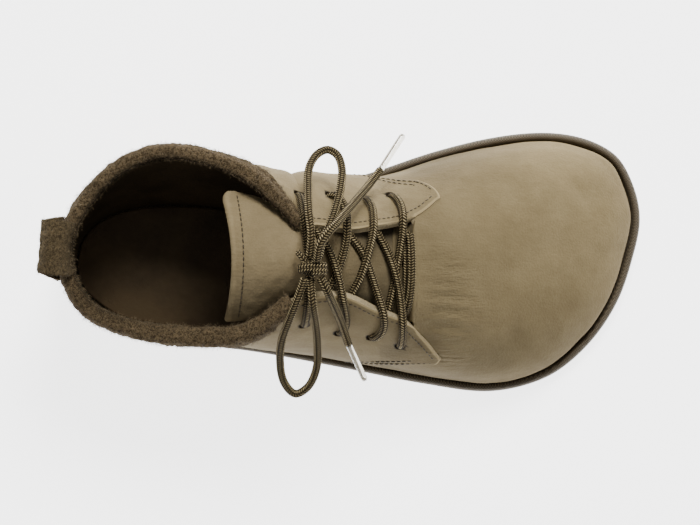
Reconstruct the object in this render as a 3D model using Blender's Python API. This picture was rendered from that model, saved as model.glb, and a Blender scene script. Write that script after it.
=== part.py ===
"""A right barefoot shoe: an ankle-high leather lace-up on a thin flat rubber sole.

The shoe stands on z = 0 with its toe towards +X and its big toe side towards +Y. The origin is on the
sole's flat bottom, halfway along it. A place round the shoe is a ring share: 0 at the heel's end, 0.5 at
the toe's end along the inner side, and on to 1 along the outer side. A level is 0 at the feather line,
where the upper meets the sole, and 1 at the upper's top edge.
"""

import functools
import math

import bmesh
import bpy
import numpy as np
from mathutils import Vector

# Driving dimensions, in metres.
SOLE_LENGTH = 0.270
SOLE_WIDTH = 0.121
SOLE_THICKNESS = 0.0035
TOE_SPRING = 0.005
RIM_WIDTH = 0.0040
RIM_HEIGHT = 0.0070
RIM_GROOVE = 0.0013
STITCH_INSET = 0.0062
STITCH_WIDTH = 0.0016
STITCH_DEPTH = 0.0008
INSOLE_THICKNESS = 0.0030
COLLAR_WIDTH = 0.0800
HEEL_HEIGHT = 0.072
INSTEP_HEIGHT = 0.088
WALL = 0.0018
QUARTER_STEP = 0.0012
TONGUE_THICKNESS = 0.0024
TONGUE_HEM = 0.0022
BAND_COVER = 0.0020
BAND_PAD = 0.0026
BAND_RISE = 0.0030
BAND_DROP_OUT = 0.0095
BAND_DROP_IN = 0.0115
BAND_END = 0.70
LOOP_WIDTH = 0.0235
LOOP_THICKNESS = 0.0017
LOOP_REACH = 0.0120
LOOP_RISE = 0.0125
LOOP_RING = 0.0060
LACE = 0.0036
HOLE = 0.0048
AGLET = 0.0028
AGLET_LENGTH = 0.0198
CLEAR = 0.0003

# The sole's outline from above, as shares of its length and width, from the heel's end along the inner side.
OUTLINE = (
    # along, across
    (-0.5000, 0.000),
    (-0.4840, 0.134),
    (-0.4400, 0.228),
    (-0.3700, 0.280),
    (-0.2780, 0.289),
    (-0.1670, 0.270),
    (-0.0740, 0.288),
    (0.0370, 0.358),
    (0.1480, 0.440),
    (0.2520, 0.495),
    (0.3400, 0.512),
    (0.4090, 0.486),
    (0.4610, 0.419),
    (0.4895, 0.303),
    (0.5000, 0.182),
    (0.4910, 0.054),
    (0.4610, -0.145),
    (0.4090, -0.314),
    (0.3400, -0.434),
    (0.2440, -0.488),
    (0.1300, -0.460),
    (-0.0190, -0.395),
    (-0.1670, -0.335),
    (-0.2960, -0.300),
    (-0.3960, -0.264),
    (-0.4570, -0.186),
    (-0.4890, -0.100),
)

# The upper's top edge, run by run: the ring share that it stands over, its place as shares of the sole's
# length and the collar's width, and its height. The collar climbs from the heel's height to the instep's,
# and the other heights are shares of the instep's.
COLLAR = (
    # ring, along, across, climb
    (-0.185, -0.0907, -0.194, 1.000),
    (-0.165, -0.1463, -0.338, 0.686),
    (-0.150, -0.1926, -0.391, 0.373),
    (-0.110, -0.2963, -0.385, 0.092),
    (-0.070, -0.3815, -0.315, 0.000),
    (-0.035, -0.4352, -0.194, 0.000),
    (0.000, -0.4611, 0.050, 0.000),
    (0.035, -0.4400, 0.288, 0.000),
    (0.070, -0.3870, 0.498, 0.032),
    (0.105, -0.3259, 0.604, 0.065),
    (0.130, -0.2741, 0.613, 0.159),
    (0.160, -0.2000, 0.548, 0.406),
    (0.176, -0.1444, 0.448, 0.659),
    (0.184, -0.1056, 0.318, 0.873),
    (0.190, -0.0778, 0.210, 1.000),
)
INNER_FLAP_EDGE = (
    # ring, along, across, up
    (0.190, -0.0778, 0.210, 1.000),
    (0.205, -0.0519, 0.213, 0.966),
    (0.235, 0.0000, 0.191, 0.881),
    (0.262, 0.0444, 0.213, 0.790),
    (0.285, 0.0796, 0.235, 0.710),
    (0.300, 0.1056, 0.263, 0.648),
)
THROAT = (
    # ring, along, across, up
    (0.300, 0.1056, 0.263, 0.648),
    (0.360, 0.1085, 0.175, 0.676),
    (0.430, 0.1104, 0.075, 0.693),
    (0.500, 0.1111, -0.038, 0.699),
    (0.570, 0.1111, -0.125, 0.693),
    (0.640, 0.1093, -0.238, 0.670),
    (0.700, 0.1056, -0.344, 0.619),
)
OUTER_FLAP_EDGE = (
    # ring, along, across, up
    (0.700, 0.1056, -0.344, 0.619),
    (0.715, 0.0796, -0.293, 0.693),
    (0.738, 0.0444, -0.248, 0.773),
    (0.772, -0.0074, -0.166, 0.881),
    (0.800, -0.0556, -0.163, 0.960),
    (0.815, -0.0907, -0.194, 1.000),
)
TOP_RUNS = (COLLAR, INNER_FLAP_EDGE, THROAT, OUTER_FLAP_EDGE)

# How the wall swells between its two edges: the lower handle goes outwards by a share of the sole's width
# and up by a share of the wall's height; the upper handle goes a share of the way towards the feather
# line, outwards and down.
SWELL = (
    # ring, out_low, rise_low, reach_top, out_top, drop_top
    (0.000, 0.041, 0.30, 0.00, 0.045, 0.40),
    (0.085, 0.021, 0.25, 0.00, 0.016, 0.35),
    (0.125, 0.021, 0.25, 0.00, 0.014, 0.35),
    (0.165, 0.030, 0.23, 0.00, 0.075, 0.44),
    (0.178, 0.032, 0.23, 0.00, 0.190, 0.43),
    (0.190, 0.034, 0.23, 0.00, 0.345, 0.40),
    (0.235, 0.032, 0.25, 0.00, 0.335, 0.41),
    (0.270, 0.021, 0.26, 0.10, 0.190, 0.42),
    (0.300, 0.014, 0.30, 0.50, 0.060, 0.36),
    (0.360, 0.012, 0.36, 0.66, 0.020, 0.38),
    (0.430, 0.010, 0.40, 0.72, 0.012, 0.45),
    (0.500, 0.008, 0.41, 0.74, 0.000, 0.50),
    (0.570, 0.008, 0.39, 0.73, 0.000, 0.50),
    (0.640, 0.010, 0.34, 0.70, 0.010, 0.47),
    (0.700, 0.014, 0.33, 0.55, 0.040, 0.40),
    (0.740, 0.018, 0.30, 0.15, 0.120, 0.36),
    (0.780, 0.021, 0.28, 0.00, 0.210, 0.36),
    (0.815, 0.021, 0.26, 0.00, 0.200, 0.36),
    (0.850, 0.021, 0.26, 0.00, 0.035, 0.38),
    (0.900, 0.025, 0.28, 0.00, 0.025, 0.38),
    (0.945, 0.033, 0.30, 0.00, 0.033, 0.40),
    (1.000, 0.041, 0.30, 0.00, 0.045, 0.40),
)

# The quarters' front edge on each side, where the wall steps out: from the feather line up round the
# flap's tip to the throat's corner.
SEAM_INNER = (
    # row, ring, level
    (0.00, 0.236, 0.000),
    (0.25, 0.242, 0.250),
    (0.40, 0.262, 0.420),
    (0.55, 0.299, 0.620),
    (0.70, 0.347, 0.805),
    (0.85, 0.332, 0.908),
    (1.00, 0.300, 1.000),
)
SEAM_OUTER = (
    # row, ring, level
    (0.00, 0.770, 0.000),
    (0.25, 0.764, 0.230),
    (0.40, 0.744, 0.350),
    (0.55, 0.717, 0.500),
    (0.70, 0.691, 0.677),
    (0.85, 0.692, 0.870),
    (1.00, 0.700, 1.000),
)
SEAM_BLEND = 0.11
SEAM_EASE = 0.35
SEAM_GAP = 0.0006
LASTED_LEVEL = 0.05
FULL_STEP_LEVEL = 0.17

# The mesh's rows up the wall; one of them runs through the flaps' tips.
ROWS = (0.0, 0.06, 0.14, 0.23, 0.32, 0.41, 0.50, 0.60, 0.70, 0.78, 0.85, 0.925, 1.0)
COLUMNS_HEEL = 40
COLUMNS_FLAP = 8
COLUMNS_VAMP = 36

# Lace holes from the top to the front, as shares of the sole's length and the collar's width.
HOLES_INNER = ((-0.082, 0.384), (-0.032, 0.390), (0.025, 0.374), (0.068, 0.396))
HOLES_OUTER = ((-0.074, -0.333), (-0.018, -0.383), (0.035, -0.408), (0.083, -0.461))

# The tongue from its top edge forward. Each edge hangs below the top edge over its ring share and inside
# the wall, the middle rises between them, and the top end bows forward, all as shares of the instep's height.
TONGUE = (
    # row, ring_in, drop_in, gap_in, ring_out, drop_out, gap_out, rise, bow
    (0.0, 0.161, 0.000, 0.090, 0.853, 0.000, 0.052, 0.176, 0.052),
    (1.0, 0.175, 0.045, 0.080, 0.838, 0.045, 0.050, 0.188, 0.034),
    (2.0, 0.186, 0.091, 0.040, 0.822, 0.095, 0.046, 0.172, 0.012),
    (3.0, 0.200, 0.125, 0.014, 0.808, 0.130, 0.018, 0.150, 0.000),
    (4.0, 0.220, 0.136, 0.009, 0.788, 0.136, 0.009, 0.130, 0.000),
    (5.0, 0.245, 0.136, 0.009, 0.758, 0.136, 0.009, 0.118, 0.000),
    (6.0, 0.268, 0.136, 0.009, 0.732, 0.136, 0.009, 0.105, 0.000),
    (7.0, 0.290, 0.136, 0.009, 0.709, 0.136, 0.009, 0.088, 0.000),
    (8.0, 0.318, 0.136, 0.008, 0.680, 0.136, 0.008, 0.076, 0.000),
    (9.0, 0.345, 0.190, 0.008, 0.655, 0.190, 0.008, 0.056, 0.000),
)

# The lace's crossings, two strands each: what a point lies over, its place as shares of the sole's length
# and the collar's width, and how high the strand's middle is above it, as a share of the lace.
TONGUE_SIDE, INNER_FLAP, OUTER_FLAP = "tongue", "inner flap", "outer flap"
CROSSINGS = {
    "lace_bar": (
        (
            (TONGUE_SIDE, 0.0915, 0.180, 0.62),
            (TONGUE_SIDE, 0.0930, 0.091, 0.63),
            (TONGUE_SIDE, 0.0935, -0.060, 0.63),
            (TONGUE_SIDE, 0.0915, -0.190, 0.63),
            (TONGUE_SIDE, 0.0880, -0.262, 0.62),
        ),
        (
            (TONGUE_SIDE, 0.0985, 0.170, 0.62),
            (TONGUE_SIDE, 0.1005, 0.076, 0.63),
            (TONGUE_SIDE, 0.1005, -0.068, 0.63),
            (TONGUE_SIDE, 0.0975, -0.180, 0.63),
            (TONGUE_SIDE, 0.0925, -0.250, 0.62),
        ),
    ),
    "lace_cross_front": (
        (
            (INNER_FLAP, 0.0680, 0.396, 0.63),
            (INNER_FLAP, 0.0720, 0.389, 0.69),
            (INNER_FLAP, 0.0810, 0.355, 0.71),
            (INNER_FLAP, 0.0865, 0.295, 1.62),
            (TONGUE_SIDE, 0.0860, 0.181, 2.30),
            (TONGUE_SIDE, 0.0815, 0.076, 0.95),
            (TONGUE_SIDE, 0.0760, -0.033, 0.64),
            (TONGUE_SIDE, 0.0700, -0.136, 0.65),
            (TONGUE_SIDE, 0.0650, -0.212, 0.62),
        ),
        (
            (TONGUE_SIDE, 0.0450, 0.178, 0.65),
            (TONGUE_SIDE, 0.0560, 0.113, 0.65),
            (TONGUE_SIDE, 0.0675, 0.030, 0.99),
            (TONGUE_SIDE, 0.0755, -0.053, 1.66),
            (TONGUE_SIDE, 0.0815, -0.151, 1.02),
            (TONGUE_SIDE, 0.0850, -0.242, 3.07),
            (OUTER_FLAP, 0.0870, -0.355, 1.51),
            (OUTER_FLAP, 0.0860, -0.431, 0.62),
            (OUTER_FLAP, 0.0830, -0.461, 0.62),
        ),
    ),
    "lace_cross_middle": (
        (
            (INNER_FLAP, 0.0250, 0.374, 0.59),
            (INNER_FLAP, 0.0310, 0.357, 0.59),
            (INNER_FLAP, 0.0375, 0.295, 1.18),
            (TONGUE_SIDE, 0.0375, 0.185, 2.85),
            (TONGUE_SIDE, 0.0325, 0.103, 0.87),
            (TONGUE_SIDE, 0.0250, 0.015, 1.67),
            (TONGUE_SIDE, 0.0165, -0.068, 0.69),
            (TONGUE_SIDE, 0.0095, -0.112, 0.61),
        ),
        (
            (TONGUE_SIDE, 0.0085, 0.125, 0.62),
            (TONGUE_SIDE, 0.0180, 0.083, 0.62),
            (TONGUE_SIDE, 0.0285, 0.006, 0.62),
            (TONGUE_SIDE, 0.0370, -0.076, 0.66),
            (TONGUE_SIDE, 0.0450, -0.159, 0.82),
            (OUTER_FLAP, 0.0540, -0.257, 1.39),
            (OUTER_FLAP, 0.0560, -0.336, 0.64),
            (OUTER_FLAP, 0.0480, -0.393, 0.64),
            (OUTER_FLAP, 0.0350, -0.408, 0.61),
        ),
    ),
    "lace_cross_back": (
        (
            (INNER_FLAP, -0.0320, 0.390, 0.61),
            (INNER_FLAP, -0.0180, 0.371, 0.62),
            (INNER_FLAP, -0.0060, 0.295, 0.93),
            (TONGUE_SIDE, -0.0045, 0.169, 2.49),
            (TONGUE_SIDE, -0.0090, 0.082, 0.73),
            (TONGUE_SIDE, -0.0170, -0.006, 0.69),
            (TONGUE_SIDE, -0.0270, -0.083, 0.93),
            (TONGUE_SIDE, -0.0310, -0.105, 1.03),
        ),
        (
            (TONGUE_SIDE, -0.0420, 0.129, 0.64),
            (TONGUE_SIDE, -0.0320, 0.073, 0.66),
            (TONGUE_SIDE, -0.0240, 0.003, 1.65),
            (TONGUE_SIDE, -0.0170, -0.083, 1.59),
            (OUTER_FLAP, -0.0110, -0.189, 1.17),
            (OUTER_FLAP, -0.0060, -0.272, 0.66),
            (OUTER_FLAP, -0.0075, -0.351, 0.67),
            (OUTER_FLAP, -0.0180, -0.383, 0.62),
        ),
    ),
    "lace_top": (
        (
            (INNER_FLAP, -0.0820, 0.384, 0.69),
            (INNER_FLAP, -0.0765, 0.321, 0.61),
            (INNER_FLAP, -0.0720, 0.234, 1.21),
            (TONGUE_SIDE, -0.0680, 0.121, 0.93),
            (TONGUE_SIDE, -0.0640, 0.008, 0.70),
        ),
        (
            (TONGUE_SIDE, -0.0630, 0.006, 1.52),
            (TONGUE_SIDE, -0.0640, -0.083, 1.15),
            (OUTER_FLAP, -0.0660, -0.181, 1.51),
            (OUTER_FLAP, -0.0690, -0.265, 0.63),
            (OUTER_FLAP, -0.0740, -0.333, 0.67),
        ),
    ),
}

# The bow's free cords, as shares of the sole's length, the collar's width and the instep's height.
BOW = {
    "lace_loop_inner": (
        (-0.0640, 0.042, 1.112),
        (-0.0615, 0.166, 1.130),
        (-0.0652, 0.280, 1.095),
        (-0.0670, 0.396, 1.015),
        (-0.0660, 0.522, 0.915),
        (-0.0544, 0.600, 0.855),
        (-0.0363, 0.631, 0.830),
        (-0.0204, 0.600, 0.840),
        (-0.0130, 0.522, 0.885),
        (-0.0148, 0.419, 0.960),
        (-0.0219, 0.316, 1.025),
        (-0.0319, 0.213, 1.080),
        (-0.0435, 0.126, 1.115),
        (-0.0490, 0.042, 1.106),
    ),
    "lace_loop_outer": (
        (-0.0715, -0.070, 1.130),
        (-0.0850, -0.194, 1.105),
        (-0.0970, -0.295, 1.050),
        (-0.1089, -0.405, 0.960),
        (-0.1130, -0.517, 0.855),
        (-0.1078, -0.638, 0.770),
        (-0.0896, -0.708, 0.735),
        (-0.0681, -0.667, 0.745),
        (-0.0548, -0.569, 0.795),
        (-0.0522, -0.449, 0.875),
        (-0.0541, -0.324, 0.990),
        (-0.0593, -0.200, 1.102),
        (-0.0620, -0.074, 1.086),
    ),
    "lace_end_inner": (
        (-0.0520, 0.030, 1.157),
        (-0.0470, 0.112, 1.190),
        (-0.0333, 0.178, 1.180),
        (-0.0219, 0.219, 1.140),
        (-0.0100, 0.271, 1.065),
        (0.0011, 0.316, 0.990),
        (0.0159, 0.378, 0.885),
        (0.0285, 0.431, 0.795),
        (0.0407, 0.486, 0.728),
        (0.0493, 0.525, 0.695),
    ),
    "lace_end_outer": (
        (-0.0470, -0.063, 1.100),
        (-0.0374, -0.126, 1.095),
        (-0.0296, -0.188, 1.025),
        (-0.0219, -0.248, 0.936),
        (-0.0122, -0.334, 0.826),
        (-0.0026, -0.434, 0.755),
    ),
}
# Each plastic tip's far end, after the cord that it is on.
TIPS = {
    "aglet_inner": ("lace_end_inner", (0.0874, 0.723, 0.630)),
    "aglet_outer": ("lace_end_outer", (0.0289, -0.669, 0.640)),
}
KNOT = (-0.0590, -0.017, 1.110)
KNOT_LENGTH = 0.0135
KNOT_WIDTH = 0.0080
KNOT_HEIGHT = 0.0078


@functools.cache
def as_arrays(rows):
    """A table's keys and its other columns."""
    return [row[0] for row in rows], np.array([row[1:] for row in rows], float)


def between(rows, at, closed=0.0):
    """Reads a table smoothly: each row starts with its key. A closed table repeats after that many keys."""
    keys, values = as_arrays(rows)
    if closed:
        at = keys[0] + (at - keys[0]) % closed
    i = int(np.clip(np.searchsorted(keys, at, side="right") - 1, 0, len(keys) - 2))
    span = keys[i + 1] - keys[i]
    step = (values[i + 1] - values[i]) / span

    def slope(a, b, c):
        """The slope at the middle one of three rows."""
        if a < 0 and closed:
            low, high = len(keys) - 2, 1
            width = keys[-1] - keys[-2] + keys[1] - keys[0]
            return (values[high] - values[0] + values[-1] - values[low]) / width
        if c >= len(keys) and closed:
            width = keys[-1] - keys[-2] + keys[1] - keys[0]
            return (values[-1] - values[-2] + values[1] - values[0]) / width
        a, c = max(a, 0), min(c, len(keys) - 1)
        return (values[c] - values[a]) / (keys[c] - keys[a]) if c - a == 2 else step

    first, last = slope(i - 1, i, i + 1), slope(i, i + 1, i + 2)
    t = min(max((at - keys[i]) / span, 0.0), 1.0)
    return (
        (1 + 2 * t) * (1 - t) ** 2 * values[i]
        + t * (1 - t) ** 2 * span * first
        + t * t * (3 - 2 * t) * values[i + 1]
        - t * t * (1 - t) * span * last
    )


def unit(vector):
    return vector / np.linalg.norm(vector)


def dense_outline():
    """The sole's outline as many points with their inward directions, and each one's ring share."""
    corners = [(along * SOLE_LENGTH, across * SOLE_WIDTH) for along, across in OUTLINE]
    corners.append(corners[0])
    keys = [0.0]
    for a, b in zip(corners, corners[1:]):
        keys.append(keys[-1] + math.dist(a, b))
    rows = tuple((key, *corner) for key, corner in zip(keys, corners))
    points = np.array([between(rows, s, keys[-1]) for s in np.linspace(0, keys[-1], 1600, endpoint=False)])
    ahead, behind = np.roll(points, -1, axis=0), np.roll(points, 1, axis=0)
    along = ahead - behind
    inward = np.stack([along[:, 1], -along[:, 0]], axis=1)
    inward /= np.linalg.norm(inward, axis=1)[:, None]
    toe = int(points[:, 0].argmax())
    steps = np.linalg.norm(ahead - points, axis=1)
    run = np.concatenate([[0], np.cumsum(steps)])[:-1]
    share = np.where(
        np.arange(len(run)) <= toe,
        0.5 * run / run[toe],
        0.5 + 0.5 * (run - run[toe]) / (run[-1] + steps[-1] - run[toe]),
    )
    closed = np.column_stack([points, inward])
    return np.vstack([closed, closed[:1]]).T, np.append(share, 1.0)


EDGE, EDGE_SHARE = dense_outline()


def edge_at(ring, inset=0.0):
    """The outline's point at a ring share, moved inwards, with the direction that points out there."""
    x, y, inward_x, inward_y = (np.interp(ring % 1.0, EDGE_SHARE, values) for values in EDGE)
    inward = unit(np.array([inward_x, inward_y]))
    return np.array([x, y]) + inset * inward, -inward


def spring(x):
    """How far the sole lifts towards the toe."""
    start = 0.30 * SOLE_LENGTH
    share = max(0.0, (x - start) / (SOLE_LENGTH / 2 - start))
    return TOE_SPRING * share**2


def feather(ring):
    """Where the upper's outer face meets the sole, and the direction that points out."""
    (x, y), out = edge_at(ring, RIM_WIDTH + RIM_GROOVE)
    return np.array([x, y, SOLE_THICKNESS + CLEAR + spring(x)]), np.array([*out, 0.0])


def top_edge(ring):
    """The upper's top edge over a ring share."""
    ring = ring % 1.0
    if ring > TOP_RUNS[3][-1][0]:
        ring -= 1.0
    for rows in TOP_RUNS:
        if ring <= rows[-1][0]:
            break
    along, across, up = between(rows, ring)
    low, high = (HEEL_HEIGHT, INSTEP_HEIGHT) if rows is COLLAR else (0.0, INSTEP_HEIGHT)
    return np.array([along * SOLE_LENGTH, across * COLLAR_WIDTH, low + up * (high - low)])


@functools.cache
def column(ring):
    """The wall's curve over a ring share: its four handles, from the feather line to the top edge."""
    foot, out = feather(ring)
    top = top_edge(ring)
    out_low, rise_low, reach_top, out_top, drop_top = between(SWELL, ring % 1.0, 1.0)
    tall = top[2] - foot[2]
    up = np.array([0.0, 0.0, tall])
    away = foot - top
    away[2] = 0.0
    low = foot + out * out_low * SOLE_WIDTH + up * rise_low
    high = top + away * reach_top + out * out_top * SOLE_WIDTH - up * drop_top
    return np.array([foot, low, high, top])


def wall_base(ring, level):
    """The upper's outer face as the vamp has it, without the quarters' step."""
    t, u = level, 1 - level
    return np.array([u**3, 3 * t * u * u, 3 * t * t * u, t**3]) @ column(ring)


def wall_normal(ring, level):
    """The direction out of the wall."""
    r, v = 0.002, 0.01
    level = min(level, 1.0)
    low, high = max(level - v, 0.0), min(level + v, 1.0)
    around = wall_base(ring + r, level) - wall_base(ring - r, level)
    upward = wall_base(ring, high) - wall_base(ring, low)
    return unit(np.cross(upward, around))


def wall(ring, level, out=0.0):
    """A point of the wall, moved out from the vamp's outer face."""
    return wall_base(ring, level) + out * wall_normal(ring, level)


def wall_drop(ring, drop, out):
    """A point that far below the top edge along the wall, or above it, moved out from the vamp's face."""
    top = wall_base(ring, 1.0)
    upward = (top - wall_base(ring, 0.98)) / 0.02
    level = 1.0 - drop / np.linalg.norm(upward)
    if level <= 1.0:
        return wall(ring, level, out)
    return top + unit(upward) * -drop + out * wall_normal(ring, 1.0)


def tongue_face(row, side):
    """The tongue's outer face: row runs through its table, and side goes from 1 to -1 across it."""
    ring_in, drop_in, gap_in, ring_out, drop_out, gap_out, rise, bow = between(TONGUE, row)
    size = INSTEP_HEIGHT
    inner = wall_drop(ring_in, drop_in * size, -WALL - CLEAR - gap_in * size)
    outer = wall_drop(ring_out, drop_out * size, -WALL - CLEAR - gap_out * size)
    lift = np.array([bow, 0.0, rise]) * size * (1 - side * side)
    return (inner + outer) / 2 + side * (inner - outer) / 2 + lift


def tongue_normal(row, side):
    """The direction up out of the tongue."""
    r, s = 0.05, 0.02
    forward = tongue_face(row + r, side) - tongue_face(row - r, side)
    sideways = tongue_face(row, side + s) - tongue_face(row, side - s)
    return unit(np.cross(forward, sideways))


def found_over(face, x, y, first, second):
    """The place on a face that lies over x, y, reached by steps from a nearby place."""
    for _ in range(30):
        here = face(first, second)[:2]
        by_first = (face(first + 0.001, second)[:2] - here) / 0.001
        by_second = (face(first, second - 0.002)[:2] - here) / -0.002
        step = np.linalg.solve(np.stack([by_first, by_second], axis=1), np.array([x, y]) - here)
        size = max(1.0, abs(step[0]) / 0.3, abs(step[1]) / 0.1)
        first, second = first + step[0] / size, second + step[1] / size
    return first, second


def over_wall(x, y, ring, out=0.0, level=0.8):
    """The quarter's point over x, y, and the direction out of it."""

    def face(ring_here, level_here):
        return wall(ring_here, level_here, QUARTER_STEP)

    ring, level = found_over(face, x, y, ring, level)
    normal = wall_normal(ring, level)
    return face(ring, level) + out * normal, normal


def over_tongue(x, y, out=0.0):
    """The tongue's point over x, y, and the direction out of it."""
    row, side = found_over(tongue_face, x, y, 4.5, 0.0)
    normal = tongue_normal(row, side)
    return tongue_face(row, side) + out * normal, normal


def material(name, colour, roughness, metallic=0.0):
    found = bpy.data.materials.new(name)
    found.use_nodes = True
    shader = found.node_tree.nodes["Principled BSDF"]
    shader.inputs["Base Color"].default_value = (*colour, 1.0)
    shader.inputs["Roughness"].default_value = roughness
    shader.inputs["Metallic"].default_value = metallic
    found.diffuse_color = (*colour, 1.0)
    return found


def new_object(name, mesh, finish, collection):
    made = bpy.data.objects.new(name, mesh)
    collection.objects.link(made)
    mesh.materials.clear()
    mesh.materials.append(finish)
    mesh.shade_smooth()
    mesh.set_sharp_from_angle(angle=math.radians(40))
    return made


def mesh_of(name, points, faces):
    """A mesh of these points and faces, with every face pointing out."""
    mesh = bpy.data.meshes.new(name)
    mesh.from_pydata([tuple(point) for point in points], [], faces)
    work = bmesh.new()
    work.from_mesh(mesh)
    bmesh.ops.recalc_face_normals(work, faces=work.faces)
    work.to_mesh(mesh)
    work.free()
    return mesh


def strip_faces(rows, columns, closed_rows, closed_columns):
    """The quads of a grid of points that are listed row by row."""
    faces = []
    for i in range(rows if closed_rows else rows - 1):
        for j in range(columns if closed_columns else columns - 1):
            a, b = i * columns, (i + 1) % rows * columns
            k = (j + 1) % columns
            faces.append((a + j, a + k, b + k, b + j))
    return faces


def swept(sections, closed=False):
    """A solid through sections with as many points each: a ring of them, or a run with capped ends."""
    count, size = len(sections), len(sections[0])
    points = [point for section in sections for point in section]
    faces = strip_faces(count, size, closed, True)
    if not closed:
        faces.append(tuple(range(size)))
        faces.append(tuple(range((count - 1) * size, count * size)))
    return points, faces


def ladder(start, size):
    """Faces across a ring of points, rung by rung from its first point to its middle one."""
    faces = []
    for i in range(size // 2):
        left, right = (start + i, start + i + 1), (start + (size - i) % size, start + size - i - 1)
        faces.append(tuple(dict.fromkeys((left[0], left[1], right[1], right[0]))))
    return faces


def plate(profile, stations):
    """A flat-lying solid with the sole's outline. The profile lists inset and height, bottom to top."""
    points = []
    for inset, height in profile:
        for ring in stations:
            (x, y), _ = edge_at(ring, inset)
            points.append((x, y, height + spring(x)))
    size = len(stations)
    faces = strip_faces(len(profile), size, False, True)
    faces += ladder(0, size)
    faces += ladder((len(profile) - 1) * size, size)
    return mesh_of("plate", points, faces)


def ring_stations(half):
    """Ring shares with as many steps on each side, closer together round the heel and the toe."""
    shares = []
    for i in range(2 * half):
        t = i / half
        shares.append(0.5 * (t - 0.42 * math.sin(2 * math.pi * t) / (2 * math.pi)))
    return shares


def build_outsole(finish, collection):
    inner = STITCH_INSET + STITCH_WIDTH / 2
    outer = STITCH_INSET - STITCH_WIDTH / 2
    slope = 0.25 * STITCH_WIDTH
    profile = (
        (inner, 0.0),
        (inner - slope, STITCH_DEPTH),
        (outer + slope, STITCH_DEPTH),
        (outer, 0.0),
        (0.30 * RIM_WIDTH, 0.0),
        (0.06 * RIM_WIDTH, 0.12 * RIM_HEIGHT),
        (0.0, 0.35 * RIM_HEIGHT),
        (0.0, 0.62 * RIM_HEIGHT),
        (0.14 * RIM_WIDTH, 0.86 * RIM_HEIGHT),
        (0.45 * RIM_WIDTH, RIM_HEIGHT),
        (0.80 * RIM_WIDTH, 0.90 * RIM_HEIGHT),
        (RIM_WIDTH, 0.70 * RIM_HEIGHT),
        (RIM_WIDTH + 0.12 * RIM_GROOVE, SOLE_THICKNESS),
    )
    mesh = plate(profile, ring_stations(36))
    return new_object("outsole", mesh, finish, collection)


def build_insole(finish, collection):
    inset = RIM_WIDTH + RIM_GROOVE + WALL + 2 * CLEAR
    bottom = SOLE_THICKNESS + CLEAR
    edge = 0.3 * INSOLE_THICKNESS
    profile = (
        (inset, bottom),
        (inset, bottom + INSOLE_THICKNESS - edge),
        (inset + edge, bottom + INSOLE_THICKNESS),
    )
    mesh = plate(profile, ring_stations(30))
    return new_object("insole", mesh, finish, collection)


def seam_shift(ring, row):
    """Moves a grid place so that one column on each side follows the quarters' front edge."""
    level = row
    for seam in (SEAM_INNER, SEAM_OUTER):
        corner = seam[-1][1]
        weight = max(0.0, 1.0 - abs(ring - corner) / SEAM_BLEND)
        at_ring, at_level = between(seam, row)
        if weight:
            smooth = SEAM_EASE * weight * weight * (3 - 2 * weight) + (1 - SEAM_EASE) * weight
            return ring + smooth * (at_ring - corner), level + smooth * (at_level - row)
    return ring, level


def collar_stations(count):
    """Ring shares along the collar, evenly spaced by the mean of the runs at the top edge and at the sole."""
    dense = np.linspace(COLLAR[0][0], COLLAR[-1][0], 600)
    ends = np.array([column(ring)[[0, 3]] for ring in dense])
    steps = np.linalg.norm(np.diff(ends, axis=0), axis=2).mean(axis=1)
    run = np.concatenate([[0], np.cumsum(steps)])
    return np.interp(np.linspace(0, run[-1], count + 1), run, dense)


def column_list():
    """The mesh's columns: each one's ring share at the top, and whether the quarters cover it."""
    inner, outer = SEAM_INNER[-1][1], SEAM_OUTER[-1][1]
    corner_in, corner_out = COLLAR[-1][0], OUTER_FLAP_EDGE[-1][0]
    columns = [(ring, True) for ring in collar_stations(COLUMNS_HEEL)[:-1]]
    for i in range(COLUMNS_FLAP):
        columns.append((corner_in + (inner - SEAM_GAP - corner_in) * i / COLUMNS_FLAP, True))
    columns.append((inner - SEAM_GAP, True))
    for i in range(COLUMNS_VAMP + 1):
        columns.append((inner + (outer - inner) * i / COLUMNS_VAMP, False))
    for i in range(COLUMNS_FLAP):
        columns.append((outer + SEAM_GAP + (corner_out - outer - SEAM_GAP) * i / COLUMNS_FLAP, True))
    return columns


def step_out(level):
    """The quarters' step, which thins out where they are lasted in behind the sole's rim."""
    return QUARTER_STEP * min(1.0, max(0.0, (level - LASTED_LEVEL) / (FULL_STEP_LEVEL - LASTED_LEVEL)))


def build_upper(finish, collection, cutters):
    columns = column_list()
    outer, inner = [], []
    for row in ROWS:
        for ring, quarter in columns:
            place = seam_shift(ring, row)
            outer.append(wall(*place, step_out(place[1]) if quarter else 0.0))
            inner.append(wall(*place, -WALL))
    size, rows = len(columns), len(ROWS)
    faces = strip_faces(rows, size, False, True)
    shift = len(outer)
    faces += [tuple(shift + i for i in face) for face in faces]
    for start in (0, (rows - 1) * size):
        for i in range(size):
            j = (i + 1) % size
            faces.append((start + i, start + j, shift + start + j, shift + start + i))
    upper = new_object("upper", mesh_of("upper", outer + inner, faces), finish, collection)
    for side, holes, ring in (("inner", HOLES_INNER, 0.23), ("outer", HOLES_OUTER, 0.77)):
        for number, (along, across) in enumerate(holes, 1):
            point, out = over_wall(along * SOLE_LENGTH, across * COLLAR_WIDTH, ring)
            bpy.ops.mesh.primitive_cylinder_add(vertices=10, radius=HOLE / 2, depth=6 * WALL, location=point)
            cutter = bpy.context.object
            cutter.name = f"cut_hole_{side}_{number}"
            cutter.rotation_euler = Vector(out).to_track_quat("Z", "Y").to_euler()
            cutter.hide_render = True
            cutter.display_type = "WIRE"
            for holder in list(cutter.users_collection):
                holder.objects.unlink(cutter)
            cutters.objects.link(cutter)
            cut = upper.modifiers.new(cutter.name, "BOOLEAN")
            cut.operation = "DIFFERENCE"
            cut.object = cutter
    return upper


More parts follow.
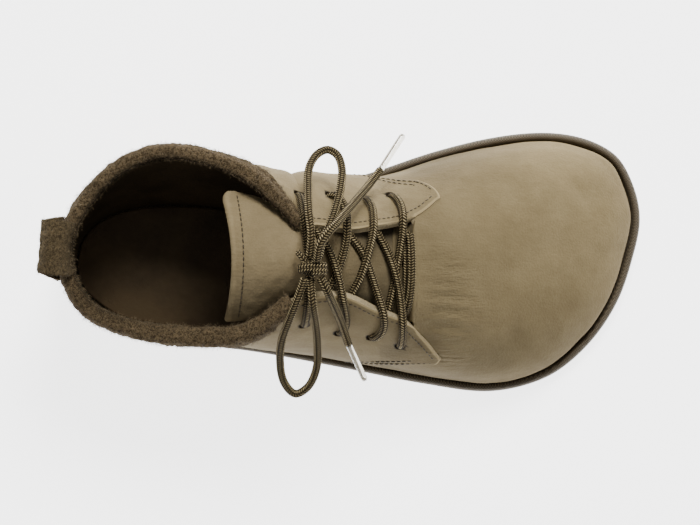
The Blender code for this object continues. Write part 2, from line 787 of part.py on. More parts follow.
def build_tongue(finish, collection):
    """One curved sheet with a thicker hem at its top edge."""
    sides = np.linspace(1, -1, 13)
    near = np.linalg.norm(tongue_face(0.5, 0.0) - tongue_face(0.0, 0.0)) / 0.5
    hem = TONGUE_HEM / near
    rows = [0.0, hem, 1.6 * hem]
    rows += list(np.linspace(rows[-1], TONGUE[-1][0], 15)[1:])
    sections = []
    for row in rows:
        thick = TONGUE_THICKNESS * (1.5 if row <= hem else 1.0)
        top = [tongue_face(row, side) for side in sides]
        low = [tongue_face(row, side) - thick * tongue_normal(row, side) for side in sides[::-1]]
        sections.append(top + low)
    return new_object("tongue", mesh_of("tongue", *swept(sections)), finish, collection)


def build_collar_band(finish, collection):
    """A padded roll that grips the collar's edge: outside lip, rounded top and a thicker inside lip."""
    face_out = QUARTER_STEP + 1.5 * CLEAR
    face_in = -WALL - 1.5 * CLEAR
    cover, pad = face_out + BAND_COVER, face_in - BAND_PAD
    middle = (cover + pad) / 2
    profile = (
        (0.5 * BAND_DROP_OUT, face_out),
        (BAND_DROP_OUT, face_out),
        (BAND_DROP_OUT, cover - 0.4 * BAND_COVER),
        (0.6 * BAND_DROP_OUT, cover),
        (0.0, cover),
        (-0.75 * BAND_RISE, cover - 0.6 * BAND_COVER),
        (-BAND_RISE, middle),
        (-0.75 * BAND_RISE, pad + 0.4 * BAND_PAD),
        (0.1 * BAND_DROP_IN, pad),
        (0.6 * BAND_DROP_IN, pad),
        (BAND_DROP_IN, pad + 0.5 * BAND_PAD),
        (BAND_DROP_IN, face_in),
        (0.5 * BAND_DROP_IN, face_in),
        (-CLEAR, face_in),
        (-CLEAR, face_out),
    )
    stations = collar_stations(COLUMNS_HEEL)
    stations[0] += BAND_END * (stations[1] - stations[0])
    stations[-1] -= BAND_END * (stations[-1] - stations[-2])
    sections = []
    for ring in stations:
        sections.append([wall_drop(ring, drop, out) for drop, out in profile])
    return new_object("collar_band", mesh_of("collar_band", *swept(sections)), finish, collection)


def build_pull_loop(finish, collection):
    """A strap from the band's outer face, back and over, and down onto the band's top. Its ends hug the
    band's curve and its fold is straight."""
    outside = QUARTER_STEP + 2.5 * CLEAR + BAND_COVER + LOOP_THICKNESS / 2
    landing = BAND_RISE + 3 * CLEAR
    route = (
        # up, out, hug
        (-0.85 * BAND_DROP_OUT, outside, 1.0),
        (-0.45 * BAND_DROP_OUT, outside, 1.0),
        (-0.05 * BAND_DROP_OUT, outside + 0.15 * LOOP_REACH, 0.6),
        (0.35 * LOOP_RISE, 0.85 * LOOP_REACH, 0.0),
        (0.65 * LOOP_RISE, 0.92 * LOOP_REACH, 0.0),
        (0.93 * LOOP_RISE, 0.68 * LOOP_REACH, 0.0),
        (0.97 * LOOP_RISE, 0.34 * LOOP_REACH, 0.1),
        (0.70 * LOOP_RISE, 0.04 * LOOP_REACH, 0.5),
        (landing, -0.08 * LOOP_REACH, 1.0),
    )
    along = top_edge(LOOP_RING + 0.01) - top_edge(LOOP_RING - 0.01)
    near = np.linalg.norm(along) / 0.02

    def place(share, up, out, hug):
        shift = share * LOOP_WIDTH / 2
        curved = wall_drop(LOOP_RING + shift / near, -up, out)
        straight = wall_drop(LOOP_RING, -up, out) + shift * unit(along)
        return hug * curved + (1 - hug) * straight

    sections = []
    for share in np.linspace(-1, 1, 5):
        over_face, under_face = [], []
        for i, (up, out, hug) in enumerate(route):
            before, after = route[max(i - 1, 0)], route[min(i + 1, len(route) - 1)]
            across = unit(np.array([after[0] - before[0], after[1] - before[1]]))
            side = 0.5 * LOOP_THICKNESS * np.array([-across[1], across[0]])
            over_face.append(place(share, up + side[0], out + side[1], hug))
            under_face.append(place(share, up - side[0], out - side[1], hug))
        sections.append(over_face + under_face[::-1])
    return new_object("pull_loop", mesh_of("pull_loop", *swept(sections)), finish, collection)


def shoe_point(along, across, up):
    return np.array([along * SOLE_LENGTH, across * COLLAR_WIDTH, up * INSTEP_HEIGHT])


def smooth_route(points, spacing):
    """Points that far apart on a smooth curve through the route's own points."""
    keys = [0.0]
    for a, b in zip(points, points[1:]):
        keys.append(keys[-1] + math.dist(a, b))
    rows = tuple((key, *point) for key, point in zip(keys, points))
    dense = np.array([between(rows, s) for s in np.linspace(0, keys[-1], 400)])
    run = np.concatenate([[0], np.cumsum(np.linalg.norm(np.diff(dense, axis=0), axis=1))])
    at = np.linspace(0, run[-1], max(2, round(run[-1] / spacing)) + 1)
    return np.stack([np.interp(at, run, dense[:, k]) for k in range(3)], axis=1)


def cord(name, points, thickness, finish, collection):
    """A tube along the points, as a curve with a round bevel and filled caps."""
    curve = bpy.data.curves.new(name, "CURVE")
    curve.dimensions = "3D"
    curve.bevel_depth = thickness / 2
    curve.bevel_resolution = 2
    curve.use_fill_caps = True
    spline = curve.splines.new("POLY")
    spline.points.add(len(points) - 1)
    for place, point in zip(spline.points, points):
        place.co = (*point, 1.0)
    made = bpy.data.objects.new(name, curve)
    curve.materials.append(finish)
    collection.objects.link(made)
    return made


def cord_mesh(name, points, thickness, finish, collection):
    """The same tube as a closed mesh, for joining."""
    tube = cord(name + "_curve", points, thickness, finish, collection)
    graph = bpy.context.evaluated_depsgraph_get()
    mesh = bpy.data.meshes.new_from_object(tube.evaluated_get(graph))
    work = bmesh.new()
    work.from_mesh(mesh)
    bmesh.ops.remove_doubles(work, verts=work.verts, dist=0.00001)
    bmesh.ops.recalc_face_normals(work, faces=work.faces)
    work.to_mesh(mesh)
    work.free()
    bpy.data.objects.remove(tube)
    return new_object(name, mesh, finish, collection)


def lace_point(under, along, across, lift):
    x, y = along * SOLE_LENGTH, across * COLLAR_WIDTH
    if under == TONGUE_SIDE:
        return over_tongue(x, y, lift * LACE)[0]
    return over_wall(x, y, 0.23 if under == INNER_FLAP else 0.77, lift * LACE)[0]


def build_crossings(finish, collection, cutters):
    for name, strands in CROSSINGS.items():
        joined = None
        for number, strand in enumerate(strands):
            points = smooth_route([lace_point(*place) for place in strand], 1.5 * LACE)
            home = cutters if number else collection
            tube = cord_mesh(f"{name}_{number}" if number else name, points, LACE, finish, home)
            if joined:
                tube.hide_render = True
                tube.display_type = "WIRE"
                union = joined.modifiers.new(tube.name, "BOOLEAN")
                union.operation = "UNION"
                union.object = tube
            else:
                joined = tube


def build_bow(finish, clear, collection):
    bpy.ops.mesh.primitive_uv_sphere_add(segments=12, ring_count=8, radius=0.5, location=shoe_point(*KNOT))
    knot = bpy.context.object
    knot.name = "lace_knot"
    knot.data.transform(
        ((KNOT_LENGTH, 0, 0, 0), (0, KNOT_WIDTH, 0, 0), (0, 0, KNOT_HEIGHT, 0), (0, 0, 0, 1))
    )
    for holder in list(knot.users_collection):
        holder.objects.unlink(knot)
    collection.objects.link(knot)
    knot.data.materials.append(finish)
    knot.data.shade_smooth()
    for name, rows in BOW.items():
        points = smooth_route([shoe_point(*row) for row in rows], 2 * LACE)
        cord(name, points, LACE, finish, collection)
    for name, (carrier, tip) in TIPS.items():
        end, before = (shoe_point(*row) for row in (BOW[carrier][-1], BOW[carrier][-2]))
        away = unit(shoe_point(*tip) - end)
        points = [end + away * 3 * CLEAR, end + away * AGLET_LENGTH]
        cord(name, points, AGLET, clear, collection)


def main():
    for old in list(bpy.data.objects):
        bpy.data.objects.remove(old)
    scene = bpy.context.scene.collection
    parts = bpy.data.collections.new("barefoot_shoe")
    cutters = bpy.data.collections.new("cutters")
    scene.children.link(parts)
    scene.children.link(cutters)

    rubber = material("rubber", (0.14, 0.10, 0.085), 0.75)
    lining = material("lining", (0.10, 0.07, 0.045), 0.85)
    nubuck = material("nubuck", (0.27, 0.22, 0.13), 0.90)
    nubuck_tongue = material("nubuck_tongue", (0.26, 0.21, 0.13), 0.90)
    suede = material("suede", (0.11, 0.08, 0.04), 0.95)
    suede_strap = material("suede_strap", (0.12, 0.09, 0.05), 0.95)
    braid = material("braid", (0.05, 0.04, 0.02), 0.80)
    plastic = material("plastic", (0.75, 0.73, 0.68), 0.25)

    build_outsole(rubber, parts)
    build_insole(lining, parts)
    build_upper(nubuck, parts, cutters)
    build_tongue(nubuck_tongue, parts)
    build_collar_band(suede, parts)
    build_pull_loop(suede_strap, parts)
    build_crossings(braid, parts, cutters)
    build_bow(braid, plastic, parts)


main()
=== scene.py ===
"""The looks of the right barefoot shoe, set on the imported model. Everything is in metres in its frame."""

import functools
import math

import bmesh
import bpy
import numpy as np
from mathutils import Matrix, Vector
from mathutils.bvhtree import BVHTree


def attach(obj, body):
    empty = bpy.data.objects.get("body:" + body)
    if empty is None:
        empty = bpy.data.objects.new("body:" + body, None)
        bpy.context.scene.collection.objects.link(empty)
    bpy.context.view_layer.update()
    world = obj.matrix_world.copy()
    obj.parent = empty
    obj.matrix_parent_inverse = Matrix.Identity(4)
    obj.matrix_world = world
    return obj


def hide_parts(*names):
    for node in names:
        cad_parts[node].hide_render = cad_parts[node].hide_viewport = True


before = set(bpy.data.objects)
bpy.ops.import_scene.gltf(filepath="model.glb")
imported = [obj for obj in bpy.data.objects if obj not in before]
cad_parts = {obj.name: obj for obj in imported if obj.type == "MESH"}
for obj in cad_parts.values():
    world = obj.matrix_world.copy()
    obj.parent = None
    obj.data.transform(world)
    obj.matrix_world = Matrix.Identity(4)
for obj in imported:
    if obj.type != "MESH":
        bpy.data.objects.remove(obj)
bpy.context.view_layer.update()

# Driving dimensions, in metres.
SOLE_LENGTH = 0.270
SOLE_WIDTH = 0.121
SOLE_THICKNESS = 0.0035
TOE_SPRING = 0.005
RIM_WIDTH = 0.0040
RIM_HEIGHT = 0.0070
RIM_GROOVE = 0.0013
STITCH_INSET = 0.0062
STITCH_WIDTH = 0.0016
STITCH_DEPTH = 0.0008
INSOLE_THICKNESS = 0.0030
COLLAR_WIDTH = 0.0800
HEEL_HEIGHT = 0.072
INSTEP_HEIGHT = 0.088
WALL = 0.0018
QUARTER_STEP = 0.0012
TONGUE_THICKNESS = 0.0024
TONGUE_HEM = 0.0022
BAND_COVER = 0.0020
BAND_PAD = 0.0026
BAND_RISE = 0.0030
BAND_DROP_OUT = 0.0095
BAND_DROP_IN = 0.0115
LOOP_WIDTH = 0.0235
LOOP_THICKNESS = 0.0017
LOOP_REACH = 0.0120
LOOP_RISE = 0.0125
LOOP_RING = 0.0060
LACE = 0.0036
HOLE = 0.0048
AGLET = 0.0028
AGLET_LENGTH = 0.0198
CLEAR = 0.0003

# The sole's outline from above, as shares of its length and width, from the heel's end along the inner side.
OUTLINE = (
    # along, across
    (-0.5000, 0.000), (-0.4840, 0.134), (-0.4400, 0.228), (-0.3700, 0.280), (-0.2780, 0.289),
    (-0.1670, 0.270), (-0.0740, 0.288), (0.0370, 0.358), (0.1480, 0.440), (0.2520, 0.495), (0.3400, 0.512),
    (0.4090, 0.486), (0.4610, 0.419), (0.4895, 0.303), (0.5000, 0.182), (0.4910, 0.054), (0.4610, -0.145),
    (0.4090, -0.314), (0.3400, -0.434), (0.2440, -0.488), (0.1300, -0.460), (-0.0190, -0.395),
    (-0.1670, -0.335), (-0.2960, -0.300), (-0.3960, -0.264), (-0.4570, -0.186), (-0.4890, -0.100),
)

# The upper's top edge, run by run: the ring share that it stands over, its place as shares of the sole's
# length and the collar's width, and its height. The collar climbs from the heel's height to the instep's,
# and the other heights are shares of the instep's.
COLLAR = (
    # ring, along, across, climb
    (-0.185, -0.0907, -0.194, 1.000),
    (-0.165, -0.1463, -0.338, 0.686),
    (-0.150, -0.1926, -0.391, 0.373),
    (-0.110, -0.2963, -0.385, 0.092),
    (-0.070, -0.3815, -0.315, 0.000),
    (-0.035, -0.4352, -0.194, 0.000),
    (0.000, -0.4611, 0.050, 0.000),
    (0.035, -0.4400, 0.288, 0.000),
    (0.070, -0.3870, 0.498, 0.032),
    (0.105, -0.3259, 0.604, 0.065),
    (0.130, -0.2741, 0.613, 0.159),
    (0.160, -0.2000, 0.548, 0.406),
    (0.176, -0.1444, 0.448, 0.659),
    (0.184, -0.1056, 0.318, 0.873),
    (0.190, -0.0778, 0.210, 1.000),
)
INNER_FLAP_EDGE = (
    # ring, along, across, up
    (0.190, -0.0778, 0.210, 1.000),
    (0.205, -0.0519, 0.213, 0.966),
    (0.235, 0.0000, 0.191, 0.881),
    (0.262, 0.0444, 0.213, 0.790),
    (0.285, 0.0796, 0.235, 0.710),
    (0.300, 0.1056, 0.263, 0.648),
)
THROAT = (
    # ring, along, across, up
    (0.300, 0.1056, 0.263, 0.648),
    (0.360, 0.1085, 0.175, 0.676),
    (0.430, 0.1104, 0.075, 0.693),
    (0.500, 0.1111, -0.038, 0.699),
    (0.570, 0.1111, -0.125, 0.693),
    (0.640, 0.1093, -0.238, 0.670),
    (0.700, 0.1056, -0.344, 0.619),
)
OUTER_FLAP_EDGE = (
    # ring, along, across, up
    (0.700, 0.1056, -0.344, 0.619),
    (0.715, 0.0796, -0.293, 0.693),
    (0.738, 0.0444, -0.248, 0.773),
    (0.772, -0.0074, -0.166, 0.881),
    (0.800, -0.0556, -0.163, 0.960),
    (0.815, -0.0907, -0.194, 1.000),
)
TOP_RUNS = (COLLAR, INNER_FLAP_EDGE, THROAT, OUTER_FLAP_EDGE)

# How the wall swells between its two edges: the lower handle goes outwards by a share of the sole's width
# and up by a share of the wall's height; the upper handle goes a share of the way towards the feather
# line, outwards and down.
SWELL = (
    # ring, out_low, rise_low, reach_top, out_top, drop_top
    (0.000, 0.041, 0.30, 0.00, 0.045, 0.40),
    (0.085, 0.021, 0.25, 0.00, 0.016, 0.35),
    (0.125, 0.021, 0.25, 0.00, 0.014, 0.35),
    (0.165, 0.030, 0.23, 0.00, 0.075, 0.44),
    (0.178, 0.032, 0.23, 0.00, 0.190, 0.43),
    (0.190, 0.034, 0.23, 0.00, 0.345, 0.40),
    (0.235, 0.032, 0.25, 0.00, 0.335, 0.41),
    (0.270, 0.021, 0.26, 0.10, 0.190, 0.42),
    (0.300, 0.014, 0.30, 0.50, 0.060, 0.36),
    (0.360, 0.012, 0.36, 0.66, 0.020, 0.38),
    (0.430, 0.010, 0.40, 0.72, 0.012, 0.45),
    (0.500, 0.008, 0.41, 0.74, 0.000, 0.50),
    (0.570, 0.008, 0.39, 0.73, 0.000, 0.50),
    (0.640, 0.010, 0.34, 0.70, 0.010, 0.47),
    (0.700, 0.014, 0.33, 0.55, 0.040, 0.40),
    (0.740, 0.018, 0.30, 0.15, 0.120, 0.36),
    (0.780, 0.021, 0.28, 0.00, 0.210, 0.36),
    (0.815, 0.021, 0.26, 0.00, 0.200, 0.36),
    (0.850, 0.021, 0.26, 0.00, 0.035, 0.38),
    (0.900, 0.025, 0.28, 0.00, 0.025, 0.38),
    (0.945, 0.033, 0.30, 0.00, 0.033, 0.40),
    (1.000, 0.041, 0.30, 0.00, 0.045, 0.40),
)

# The quarters' front edge on each side, where the wall steps out: from the feather line up round the
# flap's tip to the throat's corner.
SEAM_INNER = (
    # row, ring, level
    (0.00, 0.236, 0.000),
    (0.25, 0.242, 0.250),
    (0.40, 0.262, 0.420),
    (0.55, 0.299, 0.620),
    (0.70, 0.347, 0.805),
    (0.85, 0.332, 0.908),
    (1.00, 0.300, 1.000),
)
SEAM_OUTER = (
    # row, ring, level
    (0.00, 0.770, 0.000),
    (0.25, 0.764, 0.230),
    (0.40, 0.744, 0.350),
    (0.55, 0.717, 0.500),
    (0.70, 0.691, 0.677),
    (0.85, 0.692, 0.870),
    (1.00, 0.700, 1.000),
)
SEAM_BLEND = 0.11
SEAM_EASE = 0.35
SEAM_GAP = 0.0006
LASTED_LEVEL = 0.05
FULL_STEP_LEVEL = 0.17

# The stations that the collar's roll has in the source.
COLUMNS_HEEL = 40

# Lace holes from the top to the front, as shares of the sole's length and the collar's width.
HOLES_INNER = ((-0.082, 0.384), (-0.032, 0.390), (0.025, 0.374), (0.068, 0.396))
HOLES_OUTER = ((-0.074, -0.333), (-0.018, -0.383), (0.035, -0.408), (0.083, -0.461))

# The tongue from its top edge forward. Each edge hangs below the top edge over its ring share and inside
# the wall, the middle rises between them, and the top end bows forward, all as shares of the instep's height.
TONGUE = (
    # row, ring_in, drop_in, gap_in, ring_out, drop_out, gap_out, rise, bow
    (0.0, 0.161, 0.000, 0.090, 0.853, 0.000, 0.052, 0.176, 0.052),
    (1.0, 0.175, 0.045, 0.080, 0.838, 0.045, 0.050, 0.188, 0.034),
    (2.0, 0.186, 0.091, 0.040, 0.822, 0.095, 0.046, 0.172, 0.012),
    (3.0, 0.200, 0.125, 0.014, 0.808, 0.130, 0.018, 0.150, 0.000),
    (4.0, 0.220, 0.136, 0.009, 0.788, 0.136, 0.009, 0.130, 0.000),
    (5.0, 0.245, 0.136, 0.009, 0.758, 0.136, 0.009, 0.118, 0.000),
    (6.0, 0.268, 0.136, 0.009, 0.732, 0.136, 0.009, 0.105, 0.000),
    (7.0, 0.290, 0.136, 0.009, 0.709, 0.136, 0.009, 0.088, 0.000),
    (8.0, 0.318, 0.136, 0.008, 0.680, 0.136, 0.008, 0.076, 0.000),
    (9.0, 0.345, 0.190, 0.008, 0.655, 0.190, 0.008, 0.056, 0.000),
)

# The lace's crossings, two strands each, as shares of the sole's length and the collar's width. The first
# strand comes from an inner hole and the second goes to an outer one. Their other ends, and both ends of the
# bar, run low, under a flap.
CROSSINGS = {
    "lace_bar": (
        (
            (0.0915, 0.180), (0.0930, 0.091), (0.0935, -0.060), (0.0915, -0.190), (0.0880, -0.262),
        ),
        (
            (0.0985, 0.170), (0.1005, 0.076), (0.1005, -0.068), (0.0975, -0.180), (0.0925, -0.250),
        ),
    ),
    "lace_cross_front": (
        (
            (0.0680, 0.396), (0.0720, 0.389), (0.0810, 0.355), (0.0865, 0.295), (0.0860, 0.181),
            (0.0815, 0.076), (0.0760, -0.033), (0.0700, -0.136), (0.0650, -0.212),
        ),
        (
            (0.0450, 0.178), (0.0560, 0.113), (0.0675, 0.030), (0.0755, -0.053), (0.0815, -0.151),
            (0.0850, -0.242), (0.0870, -0.355), (0.0860, -0.431), (0.0830, -0.461),
        ),
    ),
    "lace_cross_middle": (
        (
            (0.0250, 0.374), (0.0310, 0.357), (0.0375, 0.295), (0.0375, 0.185), (0.0325, 0.103),
            (0.0250, 0.015), (0.0165, -0.068), (0.0095, -0.112),
        ),
        (
            (0.0085, 0.125), (0.0180, 0.083), (0.0285, 0.006), (0.0370, -0.076), (0.0450, -0.159),
            (0.0540, -0.257), (0.0560, -0.336), (0.0480, -0.393), (0.0350, -0.408),
        ),
    ),
    "lace_cross_back": (
        (
            (-0.0320, 0.390), (-0.0180, 0.371), (-0.0060, 0.295), (-0.0045, 0.169), (-0.0090, 0.082),
            (-0.0170, -0.006), (-0.0270, -0.083), (-0.0310, -0.105),
        ),
        (
            (-0.0420, 0.129), (-0.0320, 0.073), (-0.0240, 0.003), (-0.0170, -0.083), (-0.0110, -0.189),
            (-0.0060, -0.272), (-0.0075, -0.351), (-0.0180, -0.383),
        ),
    ),
    "lace_top": (
        (
            (-0.0820, 0.384), (-0.0765, 0.321), (-0.0720, 0.234), (-0.0680, 0.121), (-0.0640, 0.008),
        ),
        (
            (-0.0630, 0.006), (-0.0640, -0.083), (-0.0660, -0.181), (-0.0690, -0.265), (-0.0740, -0.333),
        ),
    ),
}

# The bow's free cords, as shares of the sole's length, the collar's width and the instep's height.
BOW = {
    "lace_loop_inner": (
        (-0.0640, 0.042, 1.112), (-0.0615, 0.166, 1.130), (-0.0652, 0.280, 1.095), (-0.0670, 0.396, 1.015),
        (-0.0660, 0.522, 0.915), (-0.0544, 0.600, 0.855), (-0.0363, 0.631, 0.830), (-0.0204, 0.600, 0.840),
        (-0.0130, 0.522, 0.885), (-0.0148, 0.419, 0.960), (-0.0219, 0.316, 1.025), (-0.0319, 0.213, 1.080),
        (-0.0435, 0.126, 1.115), (-0.0490, 0.042, 1.106),
    ),
    "lace_loop_outer": (
        (-0.0715, -0.070, 1.130), (-0.0850, -0.194, 1.105), (-0.0970, -0.295, 1.050),
        (-0.1089, -0.405, 0.960), (-0.1130, -0.517, 0.855), (-0.1078, -0.638, 0.770),
        (-0.0896, -0.708, 0.735), (-0.0681, -0.667, 0.745), (-0.0548, -0.569, 0.795),
        (-0.0522, -0.449, 0.875), (-0.0541, -0.324, 0.990), (-0.0593, -0.200, 1.102),
        (-0.0620, -0.074, 1.086),
    ),
    "lace_end_inner": (
        (-0.0520, 0.030, 1.157), (-0.0470, 0.112, 1.190), (-0.0333, 0.178, 1.180), (-0.0219, 0.219, 1.140),
        (-0.0100, 0.271, 1.065), (0.0011, 0.316, 0.990), (0.0159, 0.378, 0.885), (0.0285, 0.431, 0.795),
        (0.0407, 0.486, 0.728), (0.0493, 0.525, 0.695),
    ),
    "lace_end_outer": (
        (-0.0470, -0.063, 1.100), (-0.0374, -0.126, 1.095), (-0.0296, -0.188, 1.025),
        (-0.0219, -0.248, 0.936), (-0.0122, -0.334, 0.826), (-0.0026, -0.434, 0.755),
    ),
}

# Each plastic tip's far end, after the cord that it is on.
TIPS = {
    "aglet_inner": ("lace_end_inner", (0.0874, 0.723, 0.630)),
    "aglet_outer": ("lace_end_outer", (0.0289, -0.669, 0.640)),
}

# The knot's middle, and a short bend of cord that shows beside it, in metres from there.
KNOT = (-0.0590, -0.017, 1.110)
KNOT_BEND = (
    (-0.0062, 0.0068, -0.0004),
    (-0.0046, 0.0050, 0.0014),
    (-0.0030, 0.0026, 0.0012),
    (-0.0016, 0.0006, -0.0004),
)

# How fine the dressed meshes are.
OUTLINE_POINTS = 1600
ROUTE_POINTS = 400
FINE_HEEL = 150
FINE_FLAP = 36
FINE_VAMP = 170
FINE_ROWS = 70


@functools.cache
def as_arrays(rows):
    """A table's keys and its other columns."""
    return [row[0] for row in rows], np.array([row[1:] for row in rows], float)


def between(rows, at, closed=0.0):
    """Reads a table smoothly: each row starts with its key. A closed table repeats after that many keys."""
    keys, values = as_arrays(rows)
    if closed:
        at = keys[0] + (at - keys[0]) % closed
    i = int(np.clip(np.searchsorted(keys, at, side="right") - 1, 0, len(keys) - 2))
    span = keys[i + 1] - keys[i]
    step = (values[i + 1] - values[i]) / span

    def slope(a, c):
        """The slope at the row between rows a and c."""
        if closed and (a < 0 or c >= len(keys)):
            width = keys[-1] - keys[-2] + keys[1] - keys[0]
            return (values[1] - values[0] + values[-1] - values[-2]) / width
        a, c = max(a, 0), min(c, len(keys) - 1)
        return (values[c] - values[a]) / (keys[c] - keys[a]) if c - a == 2 else step

    first, last = slope(i - 1, i + 1), slope(i, i + 2)
    t = min(max((at - keys[i]) / span, 0.0), 1.0)
    return (
        (1 + 2 * t) * (1 - t) ** 2 * values[i]
        + t * (1 - t) ** 2 * span * first
        + t * t * (3 - 2 * t) * values[i + 1]
        - t * t * (1 - t) * span * last
    )


def unit(vector):
    """The vector at length 1."""
    return vector / np.linalg.norm(vector)


def keyed(corners):
    """The corners as a table's rows, each behind its distance along them."""
    keys = [0.0]
    for a, b in zip(corners, corners[1:]):
        keys.append(keys[-1] + math.dist(a, b))
    return tuple((key, *corner) for key, corner in zip(keys, corners))


def run_along(points):
    """How far along a run each of its points lies."""
    return np.concatenate([[0], np.cumsum(np.linalg.norm(np.diff(points, axis=0), axis=1))])


def read_run(at, run, values):
    """Values along a run, read at one distance or at many."""
    return np.stack([np.interp(at, run, column) for column in np.transpose(values)], axis=-1)


def resampled(points, spacing):
    """Points that far apart along straight runs between the given ones."""
    run = run_along(points)
    return read_run(np.linspace(0, run[-1], max(2, round(run[-1] / spacing)) + 1), run, points)


def dense_outline():
    """The sole's outline as many points with their inward directions, and each one's ring share."""
    corners = [(along * SOLE_LENGTH, across * SOLE_WIDTH) for along, across in OUTLINE]
    rows = keyed([*corners, corners[0]])
    whole = rows[-1][0]
    at = np.linspace(0, whole, OUTLINE_POINTS, endpoint=False)
    points = np.array([between(rows, s, whole) for s in at])
    ahead, behind = np.roll(points, -1, axis=0), np.roll(points, 1, axis=0)
    along = ahead - behind
    inward = np.stack([along[:, 1], -along[:, 0]], axis=1)
    inward /= np.linalg.norm(inward, axis=1)[:, None]
    toe = int(points[:, 0].argmax())
    steps = np.linalg.norm(ahead - points, axis=1)
    run = np.concatenate([[0], np.cumsum(steps)])[:-1]
    share = np.where(
        np.arange(len(run)) <= toe,
        0.5 * run / run[toe],
        0.5 + 0.5 * (run - run[toe]) / (run[-1] + steps[-1] - run[toe]),
    )
    closed = np.column_stack([points, inward])
    return np.vstack([closed, closed[:1]]).T, np.append(share, 1.0)


EDGE, EDGE_SHARE = dense_outline()


def edge_at(ring, inset=0.0):
    """The outline's point at a ring share, moved inwards, with the direction that points out there."""
    x, y, inward_x, inward_y = (np.interp(ring % 1.0, EDGE_SHARE, values) for values in EDGE)
    inward = unit(np.array([inward_x, inward_y]))
    return np.array([x, y]) + inset * inward, -inward


def spring(x):
    """How far the sole lifts towards the toe."""
    start = 0.30 * SOLE_LENGTH
    share = max(0.0, (x - start) / (SOLE_LENGTH / 2 - start))
    return TOE_SPRING * share**2


def feather(ring):
    """Where the upper's outer face meets the sole, and the direction that points out."""
    (x, y), out = edge_at(ring, RIM_WIDTH + RIM_GROOVE)
    return np.array([x, y, SOLE_THICKNESS + CLEAR + spring(x)]), np.array([*out, 0.0])


def top_edge(ring):
    """The upper's top edge over a ring share."""
    ring = ring % 1.0
    if ring > TOP_RUNS[3][-1][0]:
        ring -= 1.0
    for rows in TOP_RUNS:
        if ring <= rows[-1][0]:
            break
    along, across, up = between(rows, ring)
    low, high = (HEEL_HEIGHT, INSTEP_HEIGHT) if rows is COLLAR else (0.0, INSTEP_HEIGHT)
    return np.array([along * SOLE_LENGTH, across * COLLAR_WIDTH, low + up * (high - low)])


@functools.cache
def column(ring):
    """The wall's curve over a ring share: its four handles, from the feather line to the top edge."""
    foot, out = feather(ring)
    top = top_edge(ring)
    out_low, rise_low, reach_top, out_top, drop_top = between(SWELL, ring % 1.0, 1.0)
    tall = top[2] - foot[2]
    up = np.array([0.0, 0.0, tall])
    away = foot - top
    away[2] = 0.0
    low = foot + out * out_low * SOLE_WIDTH + up * rise_low
    high = top + away * reach_top + out * out_top * SOLE_WIDTH - up * drop_top
    return np.array([foot, low, high, top])


def wall_base(ring, level):
    """The upper's outer face as the vamp has it, without the quarters' step."""
    t, u = level, 1 - level
    return np.array([u**3, 3 * t * u * u, 3 * t * t * u, t**3]) @ column(ring)


def wall_normal(ring, level):
    """The direction out of the wall."""
    r, v = 0.002, 0.01
    level = min(level, 1.0)
    low, high = max(level - v, 0.0), min(level + v, 1.0)
    around = wall_base(ring + r, level) - wall_base(ring - r, level)
    upward = wall_base(ring, high) - wall_base(ring, low)
    return unit(np.cross(upward, around))


def wall(ring, level, out=0.0):
    """A point of the wall, moved out from the vamp's outer face."""
    return wall_base(ring, level) + out * wall_normal(ring, level)


def wall_drop(ring, drop, out):
    """A point that far below the top edge along the wall, or above it, moved out from the vamp's face."""
    top = wall_base(ring, 1.0)
    upward = (top - wall_base(ring, 0.98)) / 0.02
    level = 1.0 - drop / np.linalg.norm(upward)
    if level <= 1.0:
        return wall(ring, level, out)
    return top + unit(upward) * -drop + out * wall_normal(ring, 1.0)


def tongue_face(row, side):
    """The tongue's outer face: row runs through its table, and side goes from 1 to -1 across it."""
    ring_in, drop_in, gap_in, ring_out, drop_out, gap_out, rise, bow = between(TONGUE, row)
    size = INSTEP_HEIGHT
    inner = wall_drop(ring_in, drop_in * size, -WALL - CLEAR - gap_in * size)
    outer = wall_drop(ring_out, drop_out * size, -WALL - CLEAR - gap_out * size)
    lift = np.array([bow, 0.0, rise]) * size * (1 - side * side)
    return (inner + outer) / 2 + side * (inner - outer) / 2 + lift


def tongue_normal(row, side):
    """The direction up out of the tongue."""
    r, s = 0.05, 0.02
    forward = tongue_face(row + r, side) - tongue_face(row - r, side)
    sideways = tongue_face(row, side + s) - tongue_face(row, side - s)
    return unit(np.cross(forward, sideways))


def found_over(face, x, y, first, second):
    """The place on a face that lies over x, y, reached by steps from a nearby place."""
    for _ in range(30):
        here = face(first, second)[:2]
        by_first = (face(first + 0.001, second)[:2] - here) / 0.001
        by_second = (face(first, second - 0.002)[:2] - here) / -0.002
        step = np.linalg.solve(np.stack([by_first, by_second], axis=1), np.array([x, y]) - here)
        size = max(1.0, abs(step[0]) / 0.3, abs(step[1]) / 0.1)
        first, second = first + step[0] / size, second + step[1] / size
    return first, second


def over_wall(x, y, ring, out=0.0, level=0.8):
    """The quarter's point over x, y, and the direction out of it."""

    def face(ring_here, level_here):
        return wall(ring_here, level_here, QUARTER_STEP)

    ring, level = found_over(face, x, y, ring, level)
    normal = wall_normal(ring, level)
    return face(ring, level) + out * normal, normal


def collar_stations(count):
    """Ring shares along the collar, evenly spaced by the mean of the runs at the top edge and at the sole."""
    dense = np.linspace(COLLAR[0][0], COLLAR[-1][0], 600)
    ends = np.array([column(ring)[[0, 3]] for ring in dense])
    steps = np.linalg.norm(np.diff(ends, axis=0), axis=2).mean(axis=1)
    run = np.concatenate([[0], np.cumsum(steps)])
    return np.interp(np.linspace(0, run[-1], count + 1), run, dense)


def shoe_point(along, across, up):
    """A point given as shares of the shoe's three sizes."""
    return np.array([along * SOLE_LENGTH, across * COLLAR_WIDTH, up * INSTEP_HEIGHT])


